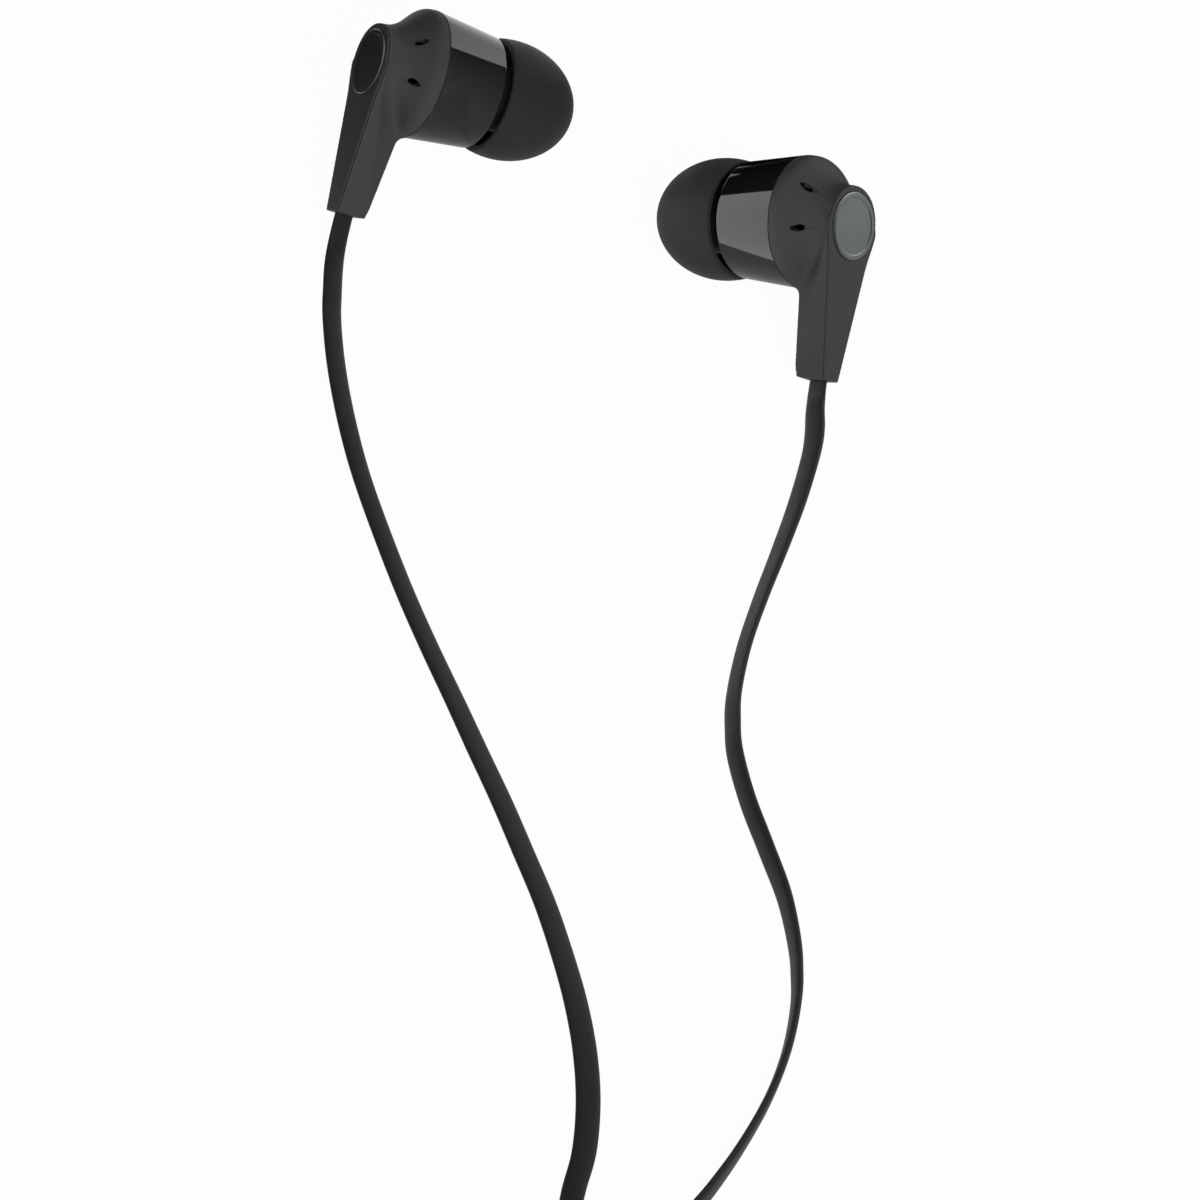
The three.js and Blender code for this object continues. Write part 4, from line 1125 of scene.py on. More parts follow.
@dataclass
class EarbudSet:
    """Both earbuds: the modelled pieces and the plain parts inside."""

    inside: dict[str, Finish] = field(
        default_factory=lambda: {
            "cord_grip": RUBBER,
            "acoustic_damper": FOAM,
            "driver_frame": PLASTIC,
            "magnet_pot": STEEL,
            "driver_magnet": NICKEL,
            "pole_plate": STEEL,
            "voice_coil": COPPER,
            "diaphragm": FILM,
            "terminal_board": CIRCUIT,
        }
    )

    def build(self) -> None:
        """Models the pieces once, copies them to both sides and dresses the solids inside."""
        shell = RearHousing()
        moulding = shell.moulding()
        models = {
            "rear_housing": shell.housing(moulding),
            "back_cover": shell.cover(moulding),
            "front_barrel": FrontBarrel().make(),
            "badge": Badge().make(),
            "nozzle_mesh": NozzleMesh().make(),
            "ear_tip": EarTip().make(),
        }
        for side in Side:
            Earbud(side, models).dress()
            for name, look in self.inside.items():
                dress_node(f"{side.value}_{name}", look)
        for model in [moulding, *models.values()]:
            bpy.data.objects.remove(model)


def dress_node(name: str, look: Finish) -> None:
    """Gives a CAD node that stays its finish.

    Args:
        name: the node.
        look: its finish.
    """
    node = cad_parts[name]
    node.data.materials.clear()
    node.data.materials.append(look.make())
    log.info("%s keeps its solid: %s", name, look.name)


# ---------------------------------------------------------------- cords
@dataclass(frozen=True)
class Station:
    """One place on a cord's middle line, in millimetres, with its roll in degrees."""

    at: Vector
    turn: float


@dataclass(frozen=True)
class CordSection:
    """The flat cord's section: 0 degrees lies flat and 90 stands on its edge."""

    width: float = 2.4
    thickness: float = 0.85
    points: int = 24
    squareness: float = 0.8

    def outline(self, scale: float = 1.0) -> Outline:
        """Gives the section as a soft flat oval.

        Args:
            scale: share of the full width.

        Returns:
            Points of (across, up).
        """
        result = []
        for i in range(self.points):
            angle = TURN * i / self.points
            x, y = math.cos(angle), math.sin(angle)
            across = math.copysign(abs(x) ** self.squareness, x) * self.width * scale / 2
            result.append((across, math.copysign(abs(y) ** self.squareness, y) * self.thickness / 2))
        return result

    def rest_height(self, turn: float) -> float:
        """Gives the height of the cord's middle when it rests on the floor, rolled by turn degrees."""
        sine, cosine = math.sin(math.radians(turn)), math.cos(math.radians(turn))
        return max(x * sine + y * cosine for x, y in self.outline())


SECTION = CordSection()


@dataclass(frozen=True)
class Coil:
    """A cord wound in two layers, on its edge: in on the lower one and out on the upper one."""

    x: float
    y: float
    start: float
    sense: int
    radius: float
    turns: float
    base: float = 0.0
    pitch: float = 1.7
    climb: float = 3.2
    climb_turns: float = 0.5
    steps: int = 48

    def angle(self, done: float) -> float:
        """Gives the angle after some turns, in radians."""
        return math.radians(self.start) + self.sense * done * TURN

    def spot(self, done: float, radius: float, climbed: float) -> Vector:
        """Gives a place on the coil after some turns, with the share of the climb that is done."""
        angle, height = self.angle(done), self.base + SECTION.width / 2 + self.climb * climbed
        return Vector((self.x + radius * math.cos(angle), self.y + radius * math.sin(angle), height))

    def stations(self) -> list[Station]:
        """Gives the coil's middle line with its straight ends."""
        line = []
        for i in range(round(self.turns * self.steps) + 1):
            done = i / self.steps
            radius = self.radius - self.pitch * min(done, self.turns - done)
            climbed = ease((done - self.turns / 2 + self.climb_turns / 2) / self.climb_turns)
            line.append(self.spot(done, radius, climbed))
        first, last = self.ends()
        return upright([first, *line, last])

    def ends(self) -> tuple[Vector, Vector]:
        """Gives the places where the straight ends stop."""
        spots = []
        for done, way, climbed in ((0.0, -1, 0), (self.turns, 1, 1)):
            angle = self.angle(done)
            along = Vector((-math.sin(angle), math.cos(angle), 0)) * self.sense
            spots.append(self.spot(done, self.radius, climbed) + along * way * SECTION.width)
        return spots[0], spots[1]


def ease(share: float) -> float:
    """Turns an even share into one that starts and ends softly, between 0 and 1."""
    share = min(max(share, 0), 1)
    return share * share * (3 - 2 * share)


def between(start: Vector, out: Vector, end: Vector, into: Vector, t: float) -> Vector:
    """Gives a place on the smooth curve from start, left along out, to end, reached along into."""
    at = start * (2 * t**3 - 3 * t**2 + 1) + out * (t**3 - 2 * t**2 + t)
    at += end * (3 * t**2 - 2 * t**3) + into * (t**3 - t**2)
    return at


def upright(spots: list[Vector]) -> list[Station]:
    """Turns places into stations where the cord stands on its edge."""
    return [Station(spot, 90) for spot in spots]


def rested(row: tuple[Triple, ...]) -> list[Station]:
    """Turns listed points of (x, y, roll) into stations that rest on the floor."""
    return [Station(Vector((x, y, SECTION.rest_height(turn))), turn) for x, y, turn in row]


def spline(stations: list[Station], step: float = 0.8) -> list[Station]:
    """Runs a smooth curve through stations and samples it evenly.

    Args:
        stations: the places it passes.
        step: spacing of the samples.

    Returns:
        The samples.
    """
    spots = [s.at for s in stations]
    spots = [spots[0] * 2 - spots[1], *spots, spots[-1] * 2 - spots[-2]]
    result = []
    for i in range(1, len(spots) - 2):
        p0, p1, p2, p3 = spots[i - 1 : i + 3]
        d0, d1, d2 = (max((b - a).length, 1e-6) ** 0.5 for a, b in ((p0, p1), (p1, p2), (p2, p3)))
        out = ((p1 - p0) / d0 - (p2 - p0) / (d0 + d1) + (p2 - p1) / d1) * d1
        into = ((p2 - p1) / d1 - (p3 - p1) / (d1 + d2) + (p3 - p2) / d2) * d1
        count = max(round((p2 - p1).length / step), 1)
        turn, next_turn = stations[i - 1].turn, stations[i].turn
        for k in range(count):
            t = k / count
            result.append(Station(between(p1, out, p2, into, t), turn + (next_turn - turn) * t))
    return [*result, stations[-1]]


def eased(line: list[Station], passes: int = 3) -> list[Station]:
    """Evens out the roll along a line and keeps it above the floor.

    Args:
        line: the samples.
        passes: how often neighbours are averaged.

    Returns:
        The eased samples.
    """
    turns = [s.turn for s in line]
    for _ in range(passes):
        middle = [(a + 2 * b + c) / 4 for a, b, c in zip(turns, turns[1:], turns[2:])]
        turns = [turns[0], *middle, turns[-1]]
    result = []
    for spot, turn in zip(line, turns):
        at = spot.at.copy()
        at.z = max(at.z, SECTION.rest_height(turn))
        result.append(Station(at, turn))
    return result


@dataclass
class FlatCord:
    """A flat cord as one unbroken tube along its stations."""

    name: str
    line: list[Station]
    first: Vector
    last: Vector
    narrow: float = 1.0
    narrow_length: float = 9.0

    def length(self) -> float:
        """Gives the length of the middle line in metres."""
        return sum((b.at - a.at).length for a, b in zip(self.line, self.line[1:])) * MM

    def build(self) -> Piece:
        """Skins the tube, closes its ends and lays out its UV map along the run.

        Returns:
            The cord in metres.
        """
        mesh = bmesh.new()
        runs = mesh.loops.layers.uv.new("run")
        rings, distances, gone, before = [], [], 0.0, self.line[0].at
        inner = [(after.at - before.at).normalized() for before, after in zip(self.line, self.line[2:])]
        for spot, along in zip(self.line, [self.first, *inner, self.last]):
            gone += (spot.at - before).length
            before = spot.at
            across = Vector((-along.y, along.x, 0)).normalized()
            rise = along.cross(across)
            sine, cosine = math.sin(math.radians(spot.turn)), math.cos(math.radians(spot.turn))
            wide, thin = across * cosine + rise * sine, rise * cosine - across * sine
            scale = self.narrow + (1 - self.narrow) * ease(gone / self.narrow_length)
            ring = [(spot.at + wide * x + thin * y) * MM for x, y in SECTION.outline(scale)]
            rings.append([mesh.verts.new(place) for place in ring])
            distances.append(gone)
        count = len(rings[0])
        around = (2 * SECTION.width + 2 * SECTION.thickness) / count
        for i in range(len(rings) - 1):
            for k in range(count):
                n = (k + 1) % count
                face = mesh.faces.new((rings[i][k], rings[i][n], rings[i + 1][n], rings[i + 1][k]))
                face.smooth = True
                spots = ((i, k), (i, k + 1), (i + 1, k + 1), (i + 1, k))
                for loop, (row, column) in zip(face.loops, spots):
                    loop[runs].uv = (distances[row] * MM, column * around * MM)
        mesh.faces.new(list(reversed(rings[0])))
        mesh.faces.new(rings[-1])
        bmesh.ops.recalc_face_normals(mesh, faces=mesh.faces[:])
        data = bpy.data.meshes.new(self.name)
        mesh.to_mesh(data)
        mesh.free()
        piece = bpy.data.objects.new(self.name, data)
        bpy.context.scene.collection.objects.link(piece)
        return piece

    def path(self) -> list[list[float]]:
        return [list(spot.at * MM) for spot in self.line]


DOWN_THE_TABLE = Vector((0, -1, 0))
UP_THE_TABLE = Vector((0, 1, 0))


@dataclass
class Branch:
    """One earbud's cord: from the stem along the floor to its coil and on to the splitter."""

    side: Side
    route: tuple[Triple, ...]
    coil: Coil
    lane: float
    splitter_top: float = SPLITTER_TOP
    level: float = CORD_LEVEL
    cord_depth: float = CORD_DEPTH
    stem_end: float = STEM_END
    in_stem: float = 0.6
    in_splitter: float = 0.4
    straight: float = 1.5
    narrow: float = 0.86

    def exit(self) -> tuple[Station, Vector]:
        """Finds where the cord leaves the stem.

        Returns:
            The station, with the cord's wide side along the barrel, and the direction.
        """
        matrix = EarbudPlace(self.side).matrix()
        at = matrix @ Vector((-self.cord_depth, 0, -self.stem_end)) / MM
        along = (matrix.to_3x3() @ Vector((0, 0, -1))).normalized()
        barrel = (matrix.to_3x3() @ Vector((1, 0, 0))).normalized()
        across = Vector((-along.y, along.x, 0)).normalized()
        roll = math.degrees(math.atan2(barrel.dot(along.cross(across)), barrel.dot(across)))
        return Station(at, roll + 180 if roll < -90 else roll), along

    def descent(self, high: Station, along: Vector, low: Station, after: Station) -> list[Station]:
        """Lets the cord down from the stem to the floor in one soft bend.

        Args:
            high: the last station near the stem.
            along: the direction in which the cord leaves the stem.
            low: the first station that rests on the floor.
            after: the station that follows it.

        Returns:
            The stations between the two.
        """
        reach = (low.at - high.at).length
        out, into = along * reach, (after.at - low.at).normalized() * reach
        spots = []
        for t in (0.3, 0.65):
            at = between(high.at, out, low.at, into, t)
            spots.append(Station(at, high.turn + (low.turn - high.turn) * t))
        return spots

    def line(self) -> tuple[list[Station], Vector, Vector]:
        """Joins the free run, the coil and the tail.

        Returns:
            The samples, the point of the exit and the first direction.
        """
        start, along = self.exit()
        entry, leave = self.coil.ends()
        inside = Station(start.at - along * self.in_stem, start.turn)
        soon = Station(start.at + along * self.straight, start.turn)
        resting = rested(self.route)
        free = [inside, start, soon, *self.descent(soon, along, *resting[:2]), *resting, *upright([entry])]
        x, y, z = leave
        tail = [
            (x, y, z), (x, y - 3.5, z - 0.1), ((x + self.lane) / 2, y - 9, z - 1.3),
            (self.lane, self.splitter_top + 3.5, self.level + 0.1),
            (self.lane, self.splitter_top - self.in_splitter, self.level),
        ]
        end = spline(upright([Vector(spot) for spot in tail]))
        joined = [*spline(free)[:-1], *self.coil.stations(), *end[1:]]
        return eased(joined), start.at, along

    def build(self) -> None:
        line, start, along = self.line()
        cord = FlatCord(f"{self.side.value}_branch_cord", line, along, DOWN_THE_TABLE, self.narrow)
        piece = cord.build()
        nodes = [f"{self.side.value}_{n}" for n in ("cord", "cord_coil", "cord_tail")]
        finish_piece(piece, CORD_SKIN, nodes)
        cord.length()
        log.info("%s: %.3f m", piece.name, cord.length())


@dataclass
class MainCord:
    """The cord from the splitter through its coil to the plug."""

    coil: Coil
    route: tuple[Pair, ...]
    splitter_bottom: float = SPLITTER_TOP - SPLITTER_LENGTH
    level: float = CORD_LEVEL
    plug_level: float = PLUG_AT[2]
    plug_lead: float = 10.0
    plug_gap: float = 0.3
    in_splitter: float = 0.4
    in_plug: float = 0.5
    bend: float = 0.3

    def build(self, with_pieces: list[str]) -> None:
        """Args:
            with_pieces: the plug's pieces and the tie; not used.
        """
        entry, leave = self.coil.ends()
        lead = [(0, self.splitter_bottom + self.in_splitter), *self.route]
        start = spline(upright([*(Vector((x, y, self.level)) for x, y in lead), entry]))
        x, y, z = leave
        plug_from, bend = y + self.plug_gap + self.plug_lead, self.bend * self.plug_lead
        end = [
            (x, y, z), (x, y + bend, z - 0.1), (x, plug_from - bend, self.plug_level + 0.1),
            (x, plug_from + self.in_plug, self.plug_level),
        ]
        stop = spline(upright([Vector(spot) for spot in end]))
        line = eased([*start[:-1], *self.coil.stations(), *stop[1:]])
        cord = FlatCord("main_cord_run", line, DOWN_THE_TABLE, UP_THE_TABLE)
        piece = cord.build()
        nodes = ["main_cord", "main_cord_coil", "main_cord_end"]
        finish_piece(piece, CORD_SKIN, nodes)
        cord.length()
        log.info("%s: %.3f m", piece.name, cord.length())


@dataclass
class CordSet:
    """Every cord with the splitter, the tie and the plug.

    Routes are listed points of (x, y, roll in degrees) or (x, y), in millimetres on the floor.
    """

    left_route: tuple[Triple, ...] = (
        (-28.3, -7.2, -40), (-28.3, -10, -39), (-28, -14.6, -38), (-27.4, -20, -36), (-26.2, -27.4, -34),
        (-24.6, -34.9, -33), (-21.6, -45.8, -31), (-19.4, -53, -29), (-17, -60.1, -27), (-14.5, -67.1, -25),
        (-12.1, -74, -22), (-9.7, -80.8, -20), (-7.5, -87.6, -19), (-5.4, -94.2, -18), (-3.7, -100.8, -17),
        (-2.3, -107.3, -12), (-1.4, -113.7, -4), (-1.1, -120, 0), (-1.5, -126.3, 3), (-2.5, -131.2, 10),
        (-3.1, -136.5, 28), (-3, -143, 60), (-2.6, -149.5, 85), (-2.5, -155, 90),
    )
    right_route: tuple[Triple, ...] = (
        (22, -31.2, 33), (20.4, -38.5, 35), (18.4, -45.8, 40), (16.3, -53, 46), (14.5, -60.1, 51),
        (13.4, -67.1, 54), (13.3, -70.6, 55), (13.4, -74, 57), (14.6, -80.8, 61), (16.4, -87.6, 63),
        (18.1, -94.2, 66), (19, -100.8, 69), (19.1, -104, 70), (19, -107.3, 72), (18, -113.7, 74),
        (16.1, -120, 77), (13.3, -126.3, 81), (10.6, -131.2, 87), (6.9, -137, 90), (4.2, -143.5, 90),
        (2.8, -150, 90), (2.5, -155.5, 90),
    )
    main_route: tuple[Pair, ...] = (
        (0, -199.5), (1.2, -205), (4.6, -212.5), (8.2, -220), (9.8, -226.5),
    )
    small_coil_at: Pair = (16.5, -163.0)
    lane: float = 1.5

    def build(self) -> None:
        """Builds the fittings first, and then the cords."""
        Splitter().build()
        tie = CordTie().build()
        plug = Plug().build()
        x, y = self.small_coil_at
        rows = ((Side.LEFT, -1, self.left_route, 0), (Side.RIGHT, 1, self.right_route, 180))
        for side, hand, route, start in rows:
            coil = Coil(hand * x, y, start, hand, radius=14, turns=2, pitch=0.95, climb=2.55)
            Branch(side, route, coil, hand * self.lane).build()
        coil = Coil(*MAIN_COIL_AT, 0, -1, radius=18, turns=8.5, base=0.7)
        MainCord(coil, self.main_route).build([tie, *plug])


# ---------------------------------------------------------------- splitter, tie and plug
@dataclass
class Splitter:
    """The moulded splitter: two branches go in at its broad end and the main cord at its neck.

    Its narrowing is rows of (share of the length from the neck's end, share of the way to full width).
    """

    top: float = SPLITTER_TOP
    length: float = SPLITTER_LENGTH
    width: float = 7.6
    neck: float = 4.4
    height: float = 3.8
    edge: float = 0.7
    narrowing: tuple[Pair, ...] = (
        (0.0, 0.0), (0.12, 0.0), (0.3, 0.06), (0.42, 0.3), (0.54, 0.7), (0.66, 0.95),
    )

    def build(self) -> None:
        """Shapes a block into the splitter."""
        bottom, half = self.top - self.length, self.width / 2
        piece = block("splitter_moulding", (-half, bottom, 0), (half, self.top, self.height))
        levels = [bottom + share * self.length for share, _ in self.narrowing]
        for level in levels[1:]:
            with editing(piece):
                everything()
                bpy.ops.mesh.bisect(plane_co=(0, level, 0), plane_no=(0, 1, 0))
        with editing(piece):
            for level, (_, wide) in zip(levels, self.narrowing):
                size = (self.neck + (self.width - self.neck) * wide) / self.width
                pick(piece, lambda p, y=level: abs(p.y - y) < 0.01)
                bpy.ops.transform.resize(value=(size, 1, 1), center_override=(0, level, self.height / 2))
        bevel(piece, self.edge, 4)
        modify(piece, "SUBSURF", levels=2, render_levels=2, subdivision_type="SIMPLE")
        modify(piece, "SMOOTH", factor=0.5, iterations=6)
        smooth(piece, 40)
        piece.data.transform(Matrix.Scale(MM, 4))
        finish_piece(piece, RUBBER, ["y_splitter"])


@dataclass
class CordTie:
    """The strap round all the turns of the main coil."""

    middle: Pair = MAIN_COIL_AT
    inner: float = 9.25
    outer: float = 18.725
    low: float = 0.4
    high: float = 6.6
    thickness: float = 0.4
    width: float = 7.0
    edge: float = 0.8
    stud_radius: float = 1.3
    stud_height: float = 0.5
    stud_sink: float = 0.05
    stud_edge: float = 0.15

    def build(self) -> str:
        """Bends a strap round the turns and closes it with a stud.

        Returns:
            The piece's name.
        """
        x, y = self.middle
        low = (x - self.width / 2, y - self.outer - self.thickness, self.low - self.thickness)
        high = (x + self.width / 2, y - self.inner + self.thickness, self.high + self.thickness)
        strap = block("tie_strap", low, high)
        bevel(strap, self.edge, 4)
        # The hole runs well past the strap at both ends.
        inset = Vector((-self.width, self.thickness, self.thickness))
        hole = block("hole", tuple(Vector(low) + inset), tuple(Vector(high) - inset))
        bevel(hole, self.edge - self.thickness, 4)
        cut(strap, hole)
        stud = fresh(
            bpy.ops.mesh.primitive_cylinder_add, "stud", vertices=48, radius=self.stud_radius,
            depth=self.stud_height, location=(x, (low[1] + high[1]) / 2, high[2] - self.stud_sink),
        )
        bevel(stud, self.stud_edge, 3)
        cut(strap, stud, "UNION")
        smooth(strap, 35)
        strap.data.transform(Matrix.Scale(MM, 4))
        finish_piece(strap, RUBBER, ["cord_tie"])
        return strap.name


@dataclass
class Plug:
    """The straight 3.5 mm plug along +Y: ribbed boot, grip and a three-pole pin.

    A groove is its width, the width of each flank and its depth. The point is rows of (distance from
    its start, share of the pin's radius).
    """

    at: Triple = PLUG_AT
    boot_length: float = 9.0
    boot_radius: float = 2.0
    boot_step: float = 0.5
    boot_margin: float = 1.0
    boot_grooves: int = 5
    boot_groove: Triple = (0.8, 0.12, 0.4)
    boot_pitch: float = 1.5
    grip_gap: float = 0.3
    grip_radius: float = 3.2
    grip_length: float = 18.0
    grip_margin: float = 3.0
    grip_grooves: int = 6
    grip_groove: Triple = (0.7, 0.2, 0.22)
    grip_pitch: float = 1.4
    collar_groove: Triple = (0.6, 0.1, 0.3)
    pin_gap: float = 0.15
    pin_radius: float = 1.75
    core: float = 0.8
    bands: tuple[float, float, float, float] = (5.7, 0.6, 2.6, 0.6)
    point: tuple[Pair, ...] = (
        (0.0, 1.0), (0.5, 1.0), (0.8, 0.86), (1.1, 0.72), (1.4, 0.84), (1.8, 1.0), (2.2, 0.95), (2.8, 0.77),
        (3.4, 0.5), (3.75, 0.3),
    )
    point_end: Pair = (3.9, 0.2)
    edge: float = 0.06
    grip_edge: float = 0.25

    def boot(self) -> Outline:
        """Gives the outline of the ribbed boot, which grows toward the grip."""
        broad = self.grip_radius - self.boot_step
        grow = (broad - self.boot_radius) / self.boot_length
        outline = [(0.0, 0.0), (0.0, self.boot_radius)]
        for i in range(self.boot_grooves):
            start = self.boot_margin + i * self.boot_pitch
            outline += groove(start, self.boot_radius + grow * start, self.boot_groove)
        return [*outline, (self.boot_length, broad), (self.boot_length, 0.0)]

    def grip(self, start: float) -> Outline:
        """Gives the outline of the grip, with its row of grooves and one round its collar."""
        end = start + self.grip_length
        outline = [(start, 0.0), (start, self.grip_radius)]
        for i in range(self.grip_grooves):
            at = start + self.grip_margin + i * self.grip_pitch
            outline += groove(at, self.grip_radius, self.grip_groove)
        outline += groove(end - self.grip_margin, self.grip_radius, self.collar_groove)
        return [*outline, (end, self.grip_radius), (end, 0.0)]

    def outlines(self) -> dict[str, tuple[Outline, Finish, Slot]]:
        """Gives each turned piece's outline from the cord's end on, with its finish.

        Returns:
            Node names with outline, finish and slot.
        """
        rubber, plastic, gold = (RUBBER, Slot.RUBBER), (PLASTIC, Slot.PLASTIC), (GOLD, Slot.GOLD)
        grip = self.boot_length + self.grip_gap
        pin = at = grip + self.grip_length + self.pin_gap
        bore, outside = self.core + self.pin_gap, self.pin_radius
        pieces = {"plug_boot": (self.boot(), *rubber), "plug_grip": (self.grip(grip), *plastic)}
        names = ("plug_sleeve_contact", "plug_rear_insulator", "plug_ring_contact", "plug_front_insulator")
        for name, length, look in zip(names, self.bands, (gold, plastic, gold, plastic)):
            band = [(at, bore), (at, outside), (at + length, outside), (at + length, bore)]
            pieces[name] = (band, *look)
            at += length + self.pin_gap
        end, blunt = self.point_end
        point = [(pin, 0.0), (pin, self.core), (at, self.core)]
        point += [(at + along, outside * share) for along, share in self.point]
        pieces["plug_tip_contact"] = ([*point, (at + end, blunt), (at + end, 0.0)], *gold)
        return pieces

    def build(self) -> list[str]:
        """Turns every piece and lays the plug down.

        Returns:
            The pieces' names.
        """
        matrix = Matrix.Translation(Vector(self.at) * MM) @ Matrix.Rotation(TURN / 4, 4, "Z")
        names = []
        for node, (outline, look, slot) in self.outlines().items():
            piece = turned(f"{node}_turned", outline, 96)
            bevel(piece, self.grip_edge if node == "plug_grip" else self.edge, 3, 50)
            smooth(piece, 35)
            piece.data.transform(matrix @ Matrix.Scale(MM, 4))
            finish_piece(piece, look, [node])
            names.append(piece.name)
        return names


# ---------------------------------------------------------------- studio
EARBUDS_MIDDLE = Vector((0, 0, 0.02))


@dataclass(frozen=True)
class Card:
    """A flat card that only gloss sees, as a photographer sets them round a shiny thing. In metres.

    It runs from its first edge, with the middle of that edge at start, by reach to its last edge.
    Its brightness goes evenly from the first edge's level to the last edge's, where 1 is white. Only
    its face shines, and from behind it isn't there. A near card faces by the order of its two sides,
    and any other faces the earbuds.
    """

    name: str
    start: Triple
    reach: Triple
    across: Triple
    levels: Pair = (0.0, 0.0)
    near: bool = False

    def place(self) -> None:
        """Sets the card up with its material."""
        card = fresh(bpy.ops.mesh.primitive_plane_add, self.name, size=1)
        reach, across = Vector(self.reach), Vector(self.across)
        middle = Vector(self.start) + reach / 2
        if not self.near and reach.cross(across).dot(middle - EARBUDS_MIDDLE) > 0:
            across = -across
        turn = Matrix((reach, across, reach.cross(across).normalized())).transposed().to_4x4()
        card.matrix_world = Matrix.Translation(middle) @ turn
        card.visible_camera = card.visible_diffuse = card.visible_shadow = False
        card.visible_transmission = card.visible_volume_scatter = False
        card.data.materials.append(self.material())

    def material(self) -> bpy.types.Material:
        """Makes the card's even or graded brightness."""
        material = bpy.data.materials.new(self.name)
        tree = emptied(material)
        place = add(tree, "ShaderNodeTexCoord").outputs["Generated"]
        along = add(tree, "ShaderNodeSeparateXYZ", {0: place}).outputs["X"]
        first, last = self.levels
        level = add(tree, "ShaderNodeMapRange", {"Value": along, "To Min": first, "To Max": last})
        light = {"Color": linear("ffffff"), "Strength": level.outputs["Result"]}
        glow = add(tree, "ShaderNodeEmission", light)
        clear = add(tree, "ShaderNodeBsdfTransparent")
        behind = add(tree, "ShaderNodeNewGeometry").outputs["Backfacing"]
        faced = add(tree, "ShaderNodeMixShader", {0: behind, 1: glow.outputs[0], 2: clear.outputs[0]})
        add(tree, "ShaderNodeOutputMaterial", {"Surface": faced.outputs[0]})
        return material


# The bright cards give the barrels their bright bands. The dark ones keep the rest of the gloss black,
# and the grey and graded ones make the softer tones between them and along the lower sides.
CARDS = (
    Card("bright_right", (0.481, 0.138, 0.17), (-0.326, 0.338, 0), (0, 0, 0.38), (2.9, 0.8)),
    Card(
        "bright_left", (-0.014, -0.0367, 0.0235), (0, 0.0462, 0), (0, 0.0116, 0.0455), (2.5, 2.5), near=True,
    ),
    Card("bright_table", (-0.0004, -0.0103, 0.003), (-0.0152, -0.0259, 0), (-0.0272, 0.016, 0), (2.5, 2.5)),
    Card("dark_back", (0.3, 0.52, 0.28), (-0.82, -0.22, 0), (0, 0, 0.6)),
    Card("dark_left", (-0.52, 0.3, 0.28), (0.03, -0.644, 0), (0, 0, 0.6)),
    Card("dark_front", (0.087, -0.49, 0.25), (0.394, 0.628, 0), (0, 0, 0.54)),
    Card("graded_between", (0.001, 0.0195, 0.023), (0, -0.05, 0), (0, 0, 0.046), (0.03, 0.95), near=True),
    Card("grey_left", (-0.0139, 0.011, 0.007), (0, -0.02, 0), (0, 0, 0.014), (0.36, 0.46), near=True),
    Card("bright_behind", (-0.032, 0.03, 0.0095), (0.032, 0, 0), (0, 0, 0.017), (1.2, 1.2)),
    Card(
        "grey_table_left", (-0.0132, 0.0246, 0.0024), (0.0042, -0.0226, 0), (0.0295, 0.0054, 0), (0.5, 0.42),
    ),
    Card("graded_table", (-0.009, 0.002, 0.0024), (0.0126, -0.0686, 0), (0.118, 0.0217, 0), (0.42, 0.6)),
    Card("grey_table", (0.0036, -0.0666, 0.0024), (0.081, -0.441, 0), (0.98, 0.18, 0), (0.35, 0.35)),
    Card("dark_table_left", (-0.5, 0.2, 0.0004), (0.46, 0, 0), (0, 0.8, 0)),
    Card("grey_table_back", (-0.0185, 0.028, 0.0004), (0, 0.1, 0), (0.033, 0, 0), (0.1, 0.35)),
    Card("dark_table_near", (0.002, 0.04, 0.0004), (0.058, 0, 0), (0, 0.07, 0)),
    Card("dark_table_back", (-0.06, 0.338, 0.0004), (0.12, 0, 0), (0, 0.524, 0)),
)


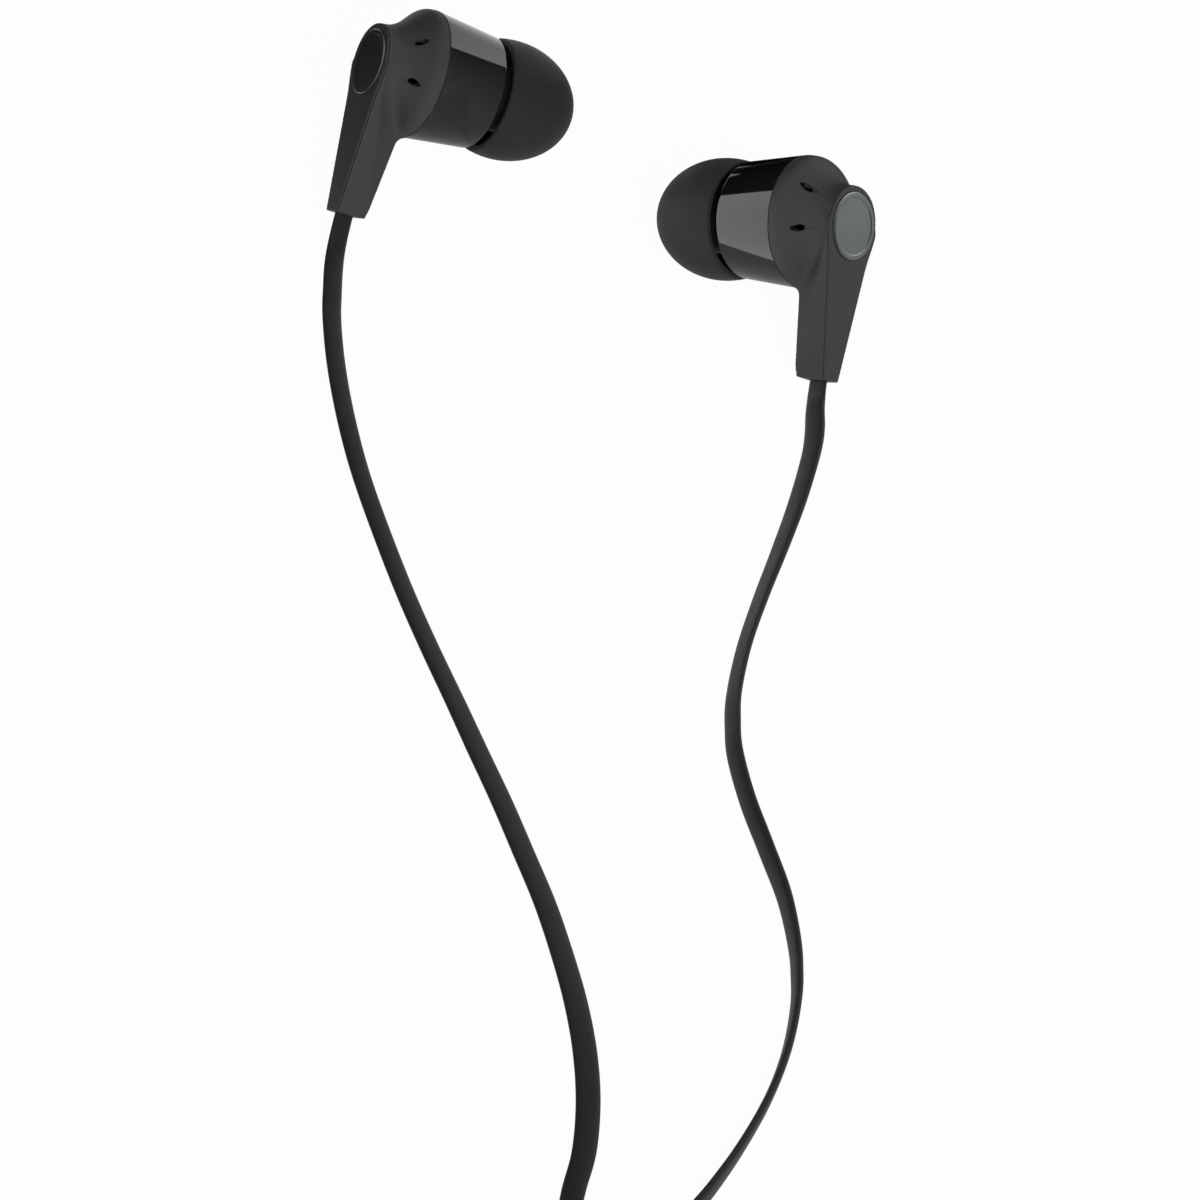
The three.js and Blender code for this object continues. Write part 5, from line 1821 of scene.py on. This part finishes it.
@dataclass
class Studio:
    """The camera at the photograph's angle, the pale floor and soft light."""

    camera_at: Triple = (0.0000328, -0.5899382, 0.5440517)
    elevation: float = 45.33
    lens: float = 225.6
    sky: float = 0.14
    floor_white: float = 0.97
    table_glow: float = 0.3
    lamp_at: Triple = (0.38, -1.22, 0.78)
    lamp_size: float = 0.9
    lamp_level: float = 6.2

    def camera(self) -> None:
        """Sets up the camera."""
        data = bpy.data.cameras.new("camera")
        data.lens, data.sensor_width = self.lens, 36.0
        data.clip_start, data.clip_end = 0.01, 20.0
        camera = bpy.data.objects.new("camera", data)
        camera.location = self.camera_at
        camera.rotation_euler = (math.radians(90 - self.elevation), 0, 0)
        bpy.context.scene.collection.objects.link(camera)
        bpy.context.scene.camera = camera
        log.info("camera: %.1f mm lens", data.lens)

    def seen(self, tree: Tree) -> Socket:
        """Gives 1 for rays that see the background: from the camera, in gloss and through glass."""
        path = add(tree, "ShaderNodeLightPath")
        first = {0: path.outputs["Is Camera Ray"], 1: path.outputs["Is Glossy Ray"]}
        both = add(tree, "ShaderNodeMath", first, operation="MAXIMUM")
        rest = {0: both.outputs[0], 1: path.outputs["Is Transmission Ray"]}
        return add(tree, "ShaderNodeMath", rest, operation="MAXIMUM").outputs[0]

    def floor(self) -> None:
        """Lays the floor. It is nearly white to the camera and keeps a faint shadow under the object."""
        plane = fresh(bpy.ops.mesh.primitive_plane_add, "floor", size=8)
        material = bpy.data.materials.new("pale_sweep")
        tree = emptied(material)
        share = {"Value": self.seen(tree), "To Min": self.table_glow, "To Max": self.floor_white}
        factor = add(tree, "ShaderNodeMapRange", share).outputs["Result"]
        matte = add(tree, "ShaderNodeBsdfDiffuse", {"Color": linear("f2f2f2")})
        glow = add(tree, "ShaderNodeEmission", {"Color": linear("ffffff"), "Strength": 1.0})
        mixed = add(tree, "ShaderNodeMixShader", {0: factor, 1: matte.outputs[0], 2: glow.outputs[0]})
        add(tree, "ShaderNodeOutputMaterial", {"Surface": mixed.outputs[0]})
        plane.data.materials.append(material)

    def world(self) -> None:
        """Sets a white surrounding to the camera and a soft level for the light."""
        world = bpy.data.worlds.new("surrounding")
        bpy.context.scene.world = world
        tree = emptied(world)
        inputs = {"Value": self.seen(tree), "To Min": self.sky, "To Max": 1.0}
        level = add(tree, "ShaderNodeMapRange", inputs).outputs["Result"]
        back = add(tree, "ShaderNodeBackground", {"Color": linear("ffffff"), "Strength": level})
        add(tree, "ShaderNodeOutputWorld", {"Surface": back.outputs[0]})

    def lamp(self) -> None:
        """Hangs the soft lamp behind the camera and to its right. Gloss sees the cards in its place."""
        data = bpy.data.lights.new("key", "AREA")
        data.shape = "RECTANGLE"
        data.size = data.size_y = self.lamp_size
        data.energy = self.lamp_level * math.pi * self.lamp_size**2
        lamp = bpy.data.objects.new("key", data)
        lamp.location = self.lamp_at
        lamp.rotation_euler = (-Vector(self.lamp_at)).to_track_quat("-Z", "Y").to_euler()
        lamp.visible_glossy = False
        bpy.context.scene.collection.objects.link(lamp)

    def cards(self) -> None:
        """Stands the bright and dark cards round the object and lays some on the table."""
        for card in CARDS:
            card.place()

    def build(self) -> None:
        """Sets up the light, the floor and the colour management."""
        bpy.context.scene.view_settings.view_transform = "Standard"
        self.floor()
        self.world()
        self.lamp()
        self.cards()


def main() -> None:
    """Builds the scene: camera and cords first, then the earbuds and the studio."""
    studio = Studio()
    studio.camera()
    CordSet().build()
    EarbudSet().build()
    studio.build()


if __name__ == "__main__":
    main()
